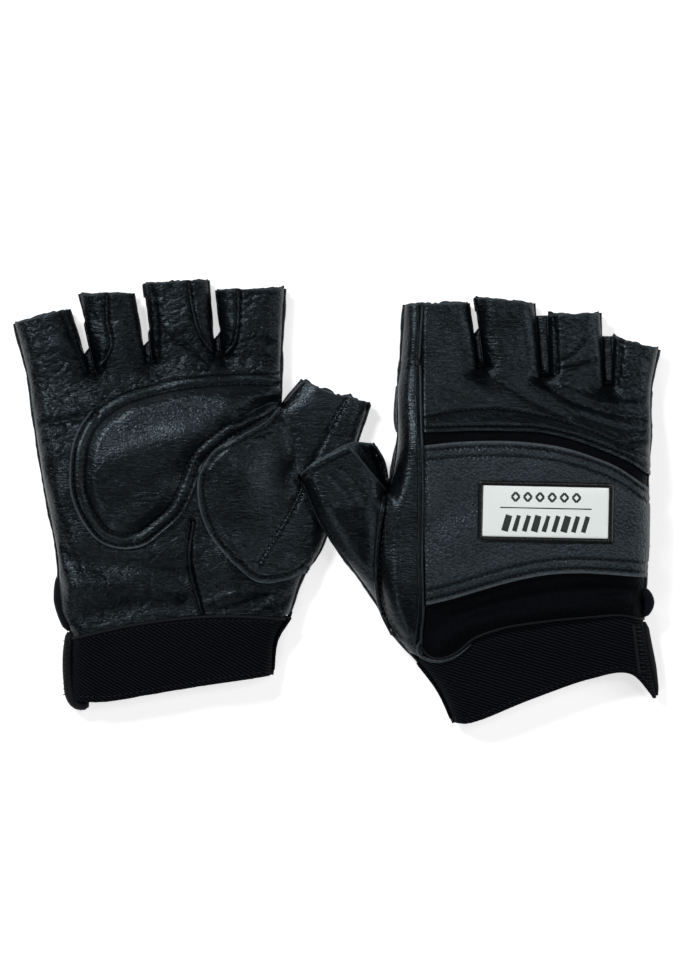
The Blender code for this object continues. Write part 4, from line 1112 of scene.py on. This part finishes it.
def up_patch():
    """The padded patch with two grooves round its edge, and its foam."""
    def out(x, y):
        d = near(x, y, UP_PATCH)
        flat = 1.3 + 1.75 * smooth((d - 5.6) / 6)
        return flat - (0.5 * ridge(d - 1.3, 0.6) + 0.55 * ridge(d - 6.0, 0.8)) + 0.35 * ridge(d - 3.6, 1.3)

    a, b, c = (int(np.argmin(np.hypot(*(UP_PATCH - corner).T)))
               for corner in ([-106, 38.9], [-102.1, -16.6], [-83.2, -18.3]))
    right = np.vstack([UP_PATCH[c:], curve([(-27.5, 37.6), (-26.4, 46), (-26.2, 56.4)], 2)[1:]])
    edges = UP_PATCH[b:c + 1], UP_PATCH[:a + 1][::-1], UP_PATCH[a:b + 1][::-1], right
    # The dark lines are painted shade along the patch's two stitch rows.
    panel(A, "patch", "palm_patch", "top", edges, "smooth_leather", out=out, step=0.65,
                    raw=(0, 2), dense="none", dark=UP_PATCH_ROWS)
    foam_set(A, "top", edges, (-78, 22), out)
    for row in UP_PATCH_ROWS:
        stitches(A, row, out=out)


def up_seams():
    """The palm's centre seam and the zigzag seams down the thumb."""
    piping(A, UP_CENTRE, 0.8, flat=0.8)
    stitches(A, UP_CENTRE + [-1.6, 0], width=0.45, pitch=2.4, length=1.4)
    leaf_line = [(-12.2, 15.5), (-16.6, 3.2), (-25, -12), (-33.8, -26.9)]
    tip_line = [(3.6, 43.6), (-1, 36.5), (-4.5, 30)]
    for points, out, body in ((leaf_line, up_leaf_out, "hand"), (tip_line, 0.2, "thumb")):
        zigzag = curve(points, 2)
        stitches(A, zigzag, out, 0.75, 1.7, 1.2, body, "smooth_leather", slant=-1.6)
        piping(A, zigzag, 0.7, out, body, "smooth_leather", flat=0.6)


def up_thumb():
    outer = cut(A.line["thumb_outer"], 20.2, 43)
    inner = A.line["thumb_inner"]
    base = np.array([inner[0] + [0.1, -0.4], outer[0]])
    hem = curve([(-15.3, 52.8), (-8, 49.6), (-1, 47), (4.6, 45.6), (8.5, 44.2), (13.1, 43)], 2)
    left = np.vstack([base[:1], inner[1:]])
    for side, kind, step, seed in (("top", "palm", 0.7, 14), ("bottom", "back", 1.4, 19)):
        panel(A, f"thumb_{kind}", f"thumb_tip_{kind}", side, (base, hem, left, outer), "smooth_leather",
              "thumb", out=0.04, step=step, raw=(1,), ragged=(1.4, seed))
    side_roll(A, left, 0.9, "thumb", "smooth_leather")
    side_roll(A, outer, 1.0, "thumb", "smooth_leather")


def up_underside():
    """The back of the hand, which faces down."""
    split, index_x, wrist = -37.0, -25.2, -48.2
    little, top = A.line["little"], UP_ROW[-1][1]
    knuckle_low = curve([(-129, 17), (-113.3, 26.1), (-86.2, 33.9), (split, 34.3)], 3)
    knuckle_low[0] = cut(little, 17, UP_ROW_LOW[0][1])[0]
    panel(A, "knuckle", "knuckle_panel", "bottom",
          (knuckle_low, np.vstack([UP_ROW[:7], [(split, top - 1)]]), cut(little, 17, UP_ROW[0][1]),
           np.array([(split, 34.3), (split, top - 1)])), out=0.1)
    knit_top = knuckle_low + [0, 0.8]
    panel(A, "stretch", "back_stretch_panel", "bottom",
          (np.vstack([UP_WRIST[UP_WRIST[:, 0] < split - 1], [(split, wrist)]]), knit_top,
           cut(little, UP_WRIST[0][1], knit_top[0][1]), np.array([(split, wrist), knit_top[-1]])),
          "stretch_fabric", rib=((1, 0, 0.5), 0.85))
    panel(A, "strip", "index_side_strip", "bottom",
          (np.array([(split, -48), (index_x, wrist)]), np.array([(split, top - 1), UP_ROW[-1]]),
           np.array([(split, -48), (split, top - 1)]),
           np.array([(index_x, wrist), (index_x, 41.5), UP_ROW[-1]])), out=0.15)
    right = cut(A.line["thumb_outer"], -47.8, 20.4)
    low, high = (-25.6, -48), (-25.6, 41.2)
    panel(A, "thumb_base", "thumb_base_back", "bottom",
          (np.array([low, right[0]]), np.array([high, right[-1]]), np.array([low, high]), right),
          "smooth_leather")
    strap = [curve([(-114.5, -27.6), (-88.8, -26.3), (-56.5, -32.5), (-43.5, -33)], 3),
             curve([(-119, 14), (-112, 21.5), (-95.2, 27.5), (-69.4, 29.6), (-43.5, 28)], 3),
             np.array([(-114.5, -27.6), (-119, 14)]), np.array([(-43.5, -33), (-43.5, 28)])]
    panel(A, "strap", "back_strap", "bottom", strap, "strap_leather", out=1.55, raw=(0, 1))
    label_set(A, "bottom", (-88.5, 0), -1.5, 1.7)


def up_sides():
    """The rolled sides, the finger stubs and the knit's bulge at the wrist."""
    side_roll(A, cut(A.line["little"], -56.9, UP_ROW_LOW[0][1]))
    side_roll(A, cut(A.line["thumb_outer"], -48.5, 20.4))
    side_roll(A, cut(A.line["index"], 41.5, UP_ROW_LOW[-1][1]))
    for place in range(len(A.fingers)):
        finger_set(A, place, ("front", "back"), "leather", (16, 15, 15))
    for name, points in (("ring", [(-99.5, 89), (-99.5, 78), (-97.5, 68), (-100.5, 61), (-103.5, 58.6)]),
                         ("middle", [(-64.5, 94.5), (-62.5, 82), (-59.5, 72), (-54.3, 64.5)]),
                         ("index", [(-43, 91), (-43.3, 76), (-45, 68), (-48.6, 64)])):
        piping(A, curve(points, 2), 0.75, out=0.35, body=name, flat=0.8)
    bulge = curve([(-116.6, -29.5), (-119.2, -33), (-119.6, -42), (-117.8, -50), (-115.6, -55)], 1.5)
    radius = taper(len(bulge), [0, 0.15, 0.5, 0.9, 1], [0.8, 2.6, 3.2, 2.4, 1.2])
    knit_roll(A, np.column_stack([bulge, np.full(len(bulge), 7.2)]), radius)


def up_cuff():
    seam = curve(UP_WRIST + [0, -0.3], 2)
    _, right, hem = cuff_set(A, seam, UP_HEM, ((0.5, 0.866, 0.3), 1.28))
    piping(A, UP_WRIST + [0, -0.9], 0.75, 0.15, "cuff", "binding", flat=0.8)
    piping(A, UP_WRIST + [0, -0.9], 0.7, 0.0, "cuff", "binding", "bottom")
    strip = curve([(-115.6, -56.0), (-116.7, -66), (-116.4, -76), (-115.2, -83), (-112.4, -86.6),
                   (-107.6, -87)], 2)
    radius = taper(len(strip), [0, 0.05, 0.6, 0.8, 0.95, 1], [1.4, 2.2, 2.4, 2.9, 2.6, 1.2])
    bucket(A, "cuff", "binding").tube(np.column_stack([strip, np.full(len(strip), 6.0)]), radius, 12, 1.2)
    for k in range(11):
        start = np.array([-118.8, -59.5 - k * 2.3, 8.6])
        bucket(A, "cuff", "thread").stitch(start, start + [2.6, -0.5, 0.4], 0.5, np.array([0, 0, 1.0]))
    for row in (hem + [0, 2.0])[2:-2], (UP_WRIST + [0, -2.4])[3:-2]:
        stitches(A, row, 0.1, 0.4, 2.4, 1.75, "cuff")
    side_roll(A, np.vstack([right[:1] + [0.6, 2.4], right]), 1.1, "cuff", "binding")
    cuff_fold(A)


# ---------------------------------------------------------------------------------------------
# Knuckle-up glove, pieces

def knuckle_out(x, y):
    """How far the knuckle leather stands off the form: a thick edge with two grooves."""
    d = near(x, y, KNUCKLE_EDGE)
    return (0.3 + 1.1 * (1 - smooth((d - 1) / 9)) - 0.4 * ridge(d - 2.2, 0.6)
            - 0.4 * ridge(near(x, y, KNUCKLE_ROWS[1]), 0.7))


def back_knuckles():
    """The knuckle leather, and the knit that shows below it and below the strap."""
    low, top = KNUCKLE_EDGE.copy(), BACK_ROW[0][1]
    right = cut(B.line["little"], 12.3, BACK_ROW[-1][1])
    low[-1] = right[0]
    row = np.vstack([[(STRIP_EDGE - 0.6, top - 0.3)], BACK_ROW[1:]])
    # The dark lines are painted shade along the knuckle panel's two stitch rows.
    panel(B, "knuckle", "knuckle_panel", "top", (low, row, np.array([low[0], row[0]]), right),
          "smooth_leather", out=lambda x, y: knuckle_out(x, y) * smooth((top - y) / 14), step=0.7,
          dark=KNUCKLE_ROWS)
    stitches(B, KNUCKLE_ROWS[0][1:-1], out=knuckle_out)
    stitches(B, KNUCKLE_ROWS[1], out=knuckle_out)

    high = low + [0, 3.0]
    right = cut(B.line["little"], BACK_SEAM[-1][1], high[-1][1])
    high[-1] = right[-1]
    panel(B, "stretch", "back_stretch_panel", "top",
          (KNIT_HEM, high, np.array([(34.6, -60.5), (35.4, -20), high[0]]),
           np.vstack([KNIT_HEM[-1:], right[1:]])), "stretch_fabric", step=0.8, rib=((1, 0.12, 0.3), 0.85),
          out=lambda x, y: 0.35 * ridge(near(x, y, KNIT_HEM) - 3, 2.5) - 0.3)
    piping(B, KNIT_HEM, 0.6, out=-0.1, material="binding")


def back_strip():
    """The index side strip with piping on its right edge, turned round its lower corner."""
    top = BACK_ROW[0][1]
    low = curve([(31, -64.2), (24.5, -55.5), (19.6, -44), (17.6, -31), (18.6, -14), (20.6, 4.2)], 2)
    left = np.vstack([low, cut(B.line["index"], 5.4, top)])
    right = curve([(36.5, -66.5), (35.4, -57), (36.2, -48), (35.9, -25), (36.2, 10), (35.4, 35),
                   (35.0, top - 0.3)], 2)
    panel(B, "strip", "index_side_strip", "top",
          (np.array([left[0], right[0]]), np.array([BACK_ROW[0], right[-1]]), left, right), "smooth_leather",
          out=lambda x, y: (0.5 + 0.5 * ridge(near(x, y, right), 1.5)) * smooth((top - y) / 14))
    piping(B, cut(right, -60, top - 2), 0.7, 0.9, material="smooth_leather", wear=0.25)
    piping(B, inset(cut(right, -56, top - 2), 2.0), 0.45, 0.8, material="smooth_leather")
    corner = curve([(35.8, -58), (34.2, -61.5), (35.2, -65), (39.5, -67.6), (45, -68), (51, -65.8),
                    (57, -60.8)], 1.5)
    radius = taper(len(evenly(corner, 1.0)), [0, 0.1, 0.6, 1], [0.4, 0.85, 0.8, 0.25])
    piping(B, corner, radius, 0.4, material="smooth_leather", wear=0.3)
    welt = curve([(20.8, 2.5), (18.4, -14), (17.6, -31), (20, -46), (25, -56.6)], 2)
    piping(B, welt + [-1.4, 0], 1.3, material="smooth_leather", flat=0.7)
    stitches(B, welt + [0.6, 0], 0.9, 0.55, 2.6, 1.3)


def back_thumb():
    """The thumb's base, its stub with a turned hem, and the web beside it."""
    left = cut(B.line["thumb_outer"], -60, -7.2)
    right = curve([(24.0, -57.5), (19.0, -46), (16.8, -31), (17.8, -14), (20.8, 4.8)], 2)
    panel(B, "thumb_base", "thumb_base_back", "top",
          (np.array([left[0], right[0]]), np.array([left[-1], right[-1]]), left, right), "smooth_leather",
          out=-0.05)
    outer = cut(B.line["thumb_outer"], -7.3, 12)
    web = (20.9, 4.7)
    base = np.array([outer[0], web])
    high = curve([(-16.5, 12), (-12, 16.2), (-4, 20.6), (3.5, 24.2)], 2)
    diagonal = curve([web, (15.5, 10.5), (9, 18.5), (3.5, 24.2)], 2)

    def hem_out(x, y):
        d = near(x, y, high)
        return 0.04 + 0.5 * (1 - smooth((d - 2.4) / 0.8)) * (1 - np.exp(-(d / 0.5)))
    panel(B, "thumb_back", "thumb_tip_back", "top", (base, high, outer, diagonal), "smooth_leather",
          "thumb", out=hem_out, step=0.6, raw=(1,), ragged=(0.5, 29))
    low_high = curve([(-16.5, 12), (-8, 18), (5, 25.6), (14.6, 25.3)], 2)
    low_right = curve([web, (20.5, 11), (19, 18), (14.6, 25.3)], 2)
    panel(B, "thumb_palm", "thumb_tip_palm", "bottom", (base, low_high, outer, low_right), "smooth_leather",
          "thumb", out=0.04, step=0.9, raw=(1,))
    side_roll(B, outer, 1.0, "thumb", "smooth_leather")
    piping(B, diagonal, 0.6, 0.1, "thumb", "smooth_leather", wear=0.3)
    stitches(B, inset(high, -2.6)[1:-1], 0.3, 0.4, 2.0, 1.3, "thumb")
    piping(B, curve([(20.2, 0), (20.9, 5), (22.3, 10)], 1), 1.3, -1.2, material="smooth_leather")
    rim = low_right[2:]
    path = np.column_stack([rim, B.middle(rim[:, 0], rim[:, 1]) + 1.2])
    bucket(B, "thumb", "smooth_leather").tube(path, 0.9)


def back_strap():
    def out(x, y):
        d = np.minimum(near(x, y, STRAP_TOP), near(x, y, STRAP_FOOT))
        return 1.6 - 0.35 * (ridge(d - 1.8, 0.6) + ridge(d - 5.8, 0.7)) + 0.25 * smooth(d / 8)
    # The dark lines are painted shade along the strap's four stitch rows.
    panel(B, "strap", "back_strap", "top",
          (STRAP_FOOT, STRAP_TOP, np.array([STRAP_FOOT[0], (36.6, -10), STRAP_TOP[0]]),
           curve([STRAP_FOOT[-1], (132, -12), STRAP_TOP[-1]], 3)), "strap_leather",
          out=out, step=0.7, raw=(0, 1), dense="high", dark=STRAP_ROWS)
    for line in STRAP_ROWS:
        stitches(B, line[:-1], out, 0.55, 2.4, 1.7)
    label_set(B, "top", (88.5, -4), -1.2, 1.75)


def back_underside():
    """The palm side, which faces down."""
    outer, wrist = B.line["thumb_outer"], BACK_SEAM[-1]
    left = curve([(60, -64), (65, -29), (61.5, -12), (58.3, -4), (58.3, 9), (51.6, 17),
                  (40.2, 24), (26.2, 30), (26.9, 60.5)], 3)
    left[-1] = BACK_ROW[0]
    panel(B, "palm", "palm_panel", "bottom", (np.array([left[0], wrist]), BACK_ROW, left,
                                              cut(B.line["little"], wrist[1], BACK_ROW[-1][1])))
    high = curve([(25, -50), (35.6, -38.6), (46.4, -29.4), (55.6, -17.4), (62, -11)], 3)
    left = cut(outer, -68, -50)
    high[0] = left[-1]
    panel(B, "heel", "palm_heel_panel", "bottom",
          (np.array([left[0], (61, -63.6)]), high, left, curve([(61, -63.6), (65.5, -29), high[-1]], 3)),
          out=0.05)
    left = cut(outer, -48.5, -7.2)
    edge = curve([(45.4, -29), (54.2, -17), (58.8, -4), (58.8, 7.6), (52.2, 16), (41.6, 22), (28, 29)], 3)
    low, high = np.array([left[0], (34.6, -38.8), edge[0]]), np.array([left[-1], (20.9, 4.6), (26, 29)])
    panel(B, "leaf", "thumb_leaf", "bottom", (low, high, left, np.vstack([edge[:-1], high[-1:]])),
          "smooth_leather", out=0.3, raw=(3,))
    right = curve([(103.5, -18), (109.9, -11), (114.6, 4.4), (114.2, 15), (106, 33)], 3)
    left = curve([(83.2, -22.3), (67.7, -9.8), (63.5, 0.5), (57.5, 15.1), (48, 24.2), (40, 32.5),
                  (38, 43)], 3)
    edges = (curve([left[0], (90, -23.6), (97, -22.8), right[0]], 3),
             curve([left[-1], (66.4, 43.5), (93.1, 40), right[-1]], 3), left, right)

    def patch_out(x, y):
        return 1.35 + 1.75 * smooth(np.min([near(x, y, line) for line in edges], axis=0) / 8)
    panel(B, "patch", "palm_patch", "bottom", edges, "smooth_leather", out=patch_out, step=1.3,
                    raw=(0, 1, 2, 3), dense="none")
    foam_set(B, "bottom", edges, (86, 12), patch_out)


def back_sides():
    """The knit's bulge at the wrist, the rolled sides and the finger stubs."""
    bulge = curve([(128, -36.8), (132, -39), (133.6, -43), (132, -47), (128.5, -48.5)], 1.5)
    radius = taper(len(bulge), [0, 0.2, 0.5, 0.8, 1], [0.8, 2.0, 2.4, 2.2, 0.9])
    knit_roll(B, np.column_stack([bulge, B.middle(bulge[:, 0], bulge[:, 1]) + 2]), radius)
    index = B.line["index"]
    side_roll(B, cut(B.line["little"], -50.5, BACK_ROW_LOW[-1][1]))
    side_roll(B, cut(B.line["thumb_outer"], -68, -7.2), material="smooth_leather")
    side_roll(B, cut(index, 5.2, BACK_ROW_LOW[0][1]))
    for place in range(len(B.fingers)):
        finger_set(B, place, ("back", "front"), "smooth_leather", (22, 60, 60))
    piping(B, cut(index, 61, 84.5) + [7.6, 0], 0.6, 0.3, "index", "smooth_leather", wear=0.2)
    piping(B, cut(index, 61, 84.5) + [5.6, 0], 0.4, 0.2, "index")


def back_cuff():
    seam = curve([(34.6, -68.7), (131.2, -50.7)], 2)
    left, _, hem = cuff_set(B, seam, BACK_HEM, ((0.29, 0.957, 0.3), 1.3), KNIT_HEM + [0, 2.2])
    strip = curve([(131.2, -51.5), (132.4, -58), (134.4, -68), (136.2, -77), (137.4, -83.2)], 2)
    radius = taper(len(strip), [0, 0.1, 0.6, 0.9, 1], [1.2, 2.2, 2.2, 1.3, 0.5])
    path = np.column_stack([strip, B.middle(strip[:, 0], strip[:, 1])])
    bucket(B, "cuff", "binding").tube(path, radius, 12, 1.2)
    welt = curve([(126.5, -52.5), (127.6, -62), (129.2, -73.6)], 2)
    piping(B, welt, 0.7, 0.1, "cuff", "binding", flat=0.7)
    stitches(B, welt + [1.6, 0], 0.2, 0.45, 1.9, 0.5, "cuff", slant=1.2)
    stitches(B, (hem + [0, 2.2])[1:-3], 0.1, 0.4, 2.4, 1.75, "cuff")
    side_roll(B, np.vstack([left[:1] + [-1.2, 2.0], left]), 1.1, "cuff", "binding")
    cuff_fold(B)


for build in (up_palm, up_patch, up_seams, up_thumb, up_underside, up_sides, up_cuff,
              back_knuckles, back_strip, back_thumb, back_strap, back_underside, back_sides, back_cuff):
    build()
GATHERED = {"thread": "threads", "leather": "rolls", "smooth_leather": "welts", "binding": "bindings"}
for (glove_name, part, material), gathered in BUCKETS.items():
    piece = gathered.finish(f"{glove_name}_{GATHERED[material]}_{part}", material)
    attach(piece, A if glove_name == A.name else B, part)


# ---------------------------------------------------------------------------------------------
# Floor, light and camera

FLOOR_HALF = 3.0
FLOOR_GLOW = 0.62
SKY_LIGHT = 0.03
DISTANCE = 1.8
VIEW_HEIGHT = 0.413
VIEW_CENTRE = (0.0024, 0.00925)
VIEW_LEVEL = 0.010

mesh = bpy.data.meshes.new("floor")
corners = [(x * FLOOR_HALF, y * FLOOR_HALF, 0) for x, y in ((-1, -1), (1, -1), (1, 1), (-1, 1))]
mesh.from_pydata(corners, [], [(0, 1, 2, 3)])
floor = bpy.data.objects.new("floor", mesh)
bpy.context.scene.collection.objects.link(floor)
Finish("paper", 0.9, Base_Color=(0.92, 0.92, 0.92, 1), Emission_Color=(1, 1, 1, 1),
       Emission_Strength=FLOOR_GLOW)
mesh.materials.append(MATERIALS["paper"])
floor.location.z = -0.0002

world = bpy.data.worlds.new("studio")
bpy.context.scene.world = world
world.use_nodes = True
background = world.node_tree.nodes["Background"]
background.inputs["Color"].default_value = (0.95, 0.97, 1.0, 1)
# The studio's far walls look as pale as the floor, but light the gloves only faintly.
seen = node(world.node_tree, "ShaderNodeLightPath", {}, "Is Camera Ray")
put(world.node_tree, background.inputs["Strength"], seen * FLOOR_GLOW + SKY_LIGHT)


def softbox(name, place, width, height, power):
    """A rectangular light that points at the middle of the pair."""
    light = bpy.data.lights.new(name, "AREA")
    light.shape = "RECTANGLE"
    light.size, light.size_y = width, height
    light.energy = power
    thing = bpy.data.objects.new(name, light)
    thing.location = place
    thing.rotation_euler = (-Vector(place)).to_track_quat("-Z", "Y").to_euler()
    bpy.context.scene.collection.objects.link(thing)


softbox("key", (-0.62, 0.72, 0.95), 0.34, 0.24, 10.5)
softbox("low", (-0.42, -0.68, 1.0), 0.34, 0.24, 1.5)
softbox("top", (0.32, 0.30, 1.25), 0.3, 0.25, 1.8)
softbox("fill", (0.95, 0.05, 0.6), 0.35, 0.7, 2.6)
softbox("front", (-0.3, -1.0, 0.55), 0.7, 0.3, 0.8)

camera_data = bpy.data.cameras.new("camera")
camera = bpy.data.objects.new("camera", camera_data)
bpy.context.scene.collection.objects.link(camera)
camera_data.lens = camera_data.sensor_width * (DISTANCE - VIEW_LEVEL) / VIEW_HEIGHT
camera.location = (*VIEW_CENTRE, DISTANCE)
bpy.context.scene.camera = camera
bpy.context.scene.view_settings.view_transform = "Standard"
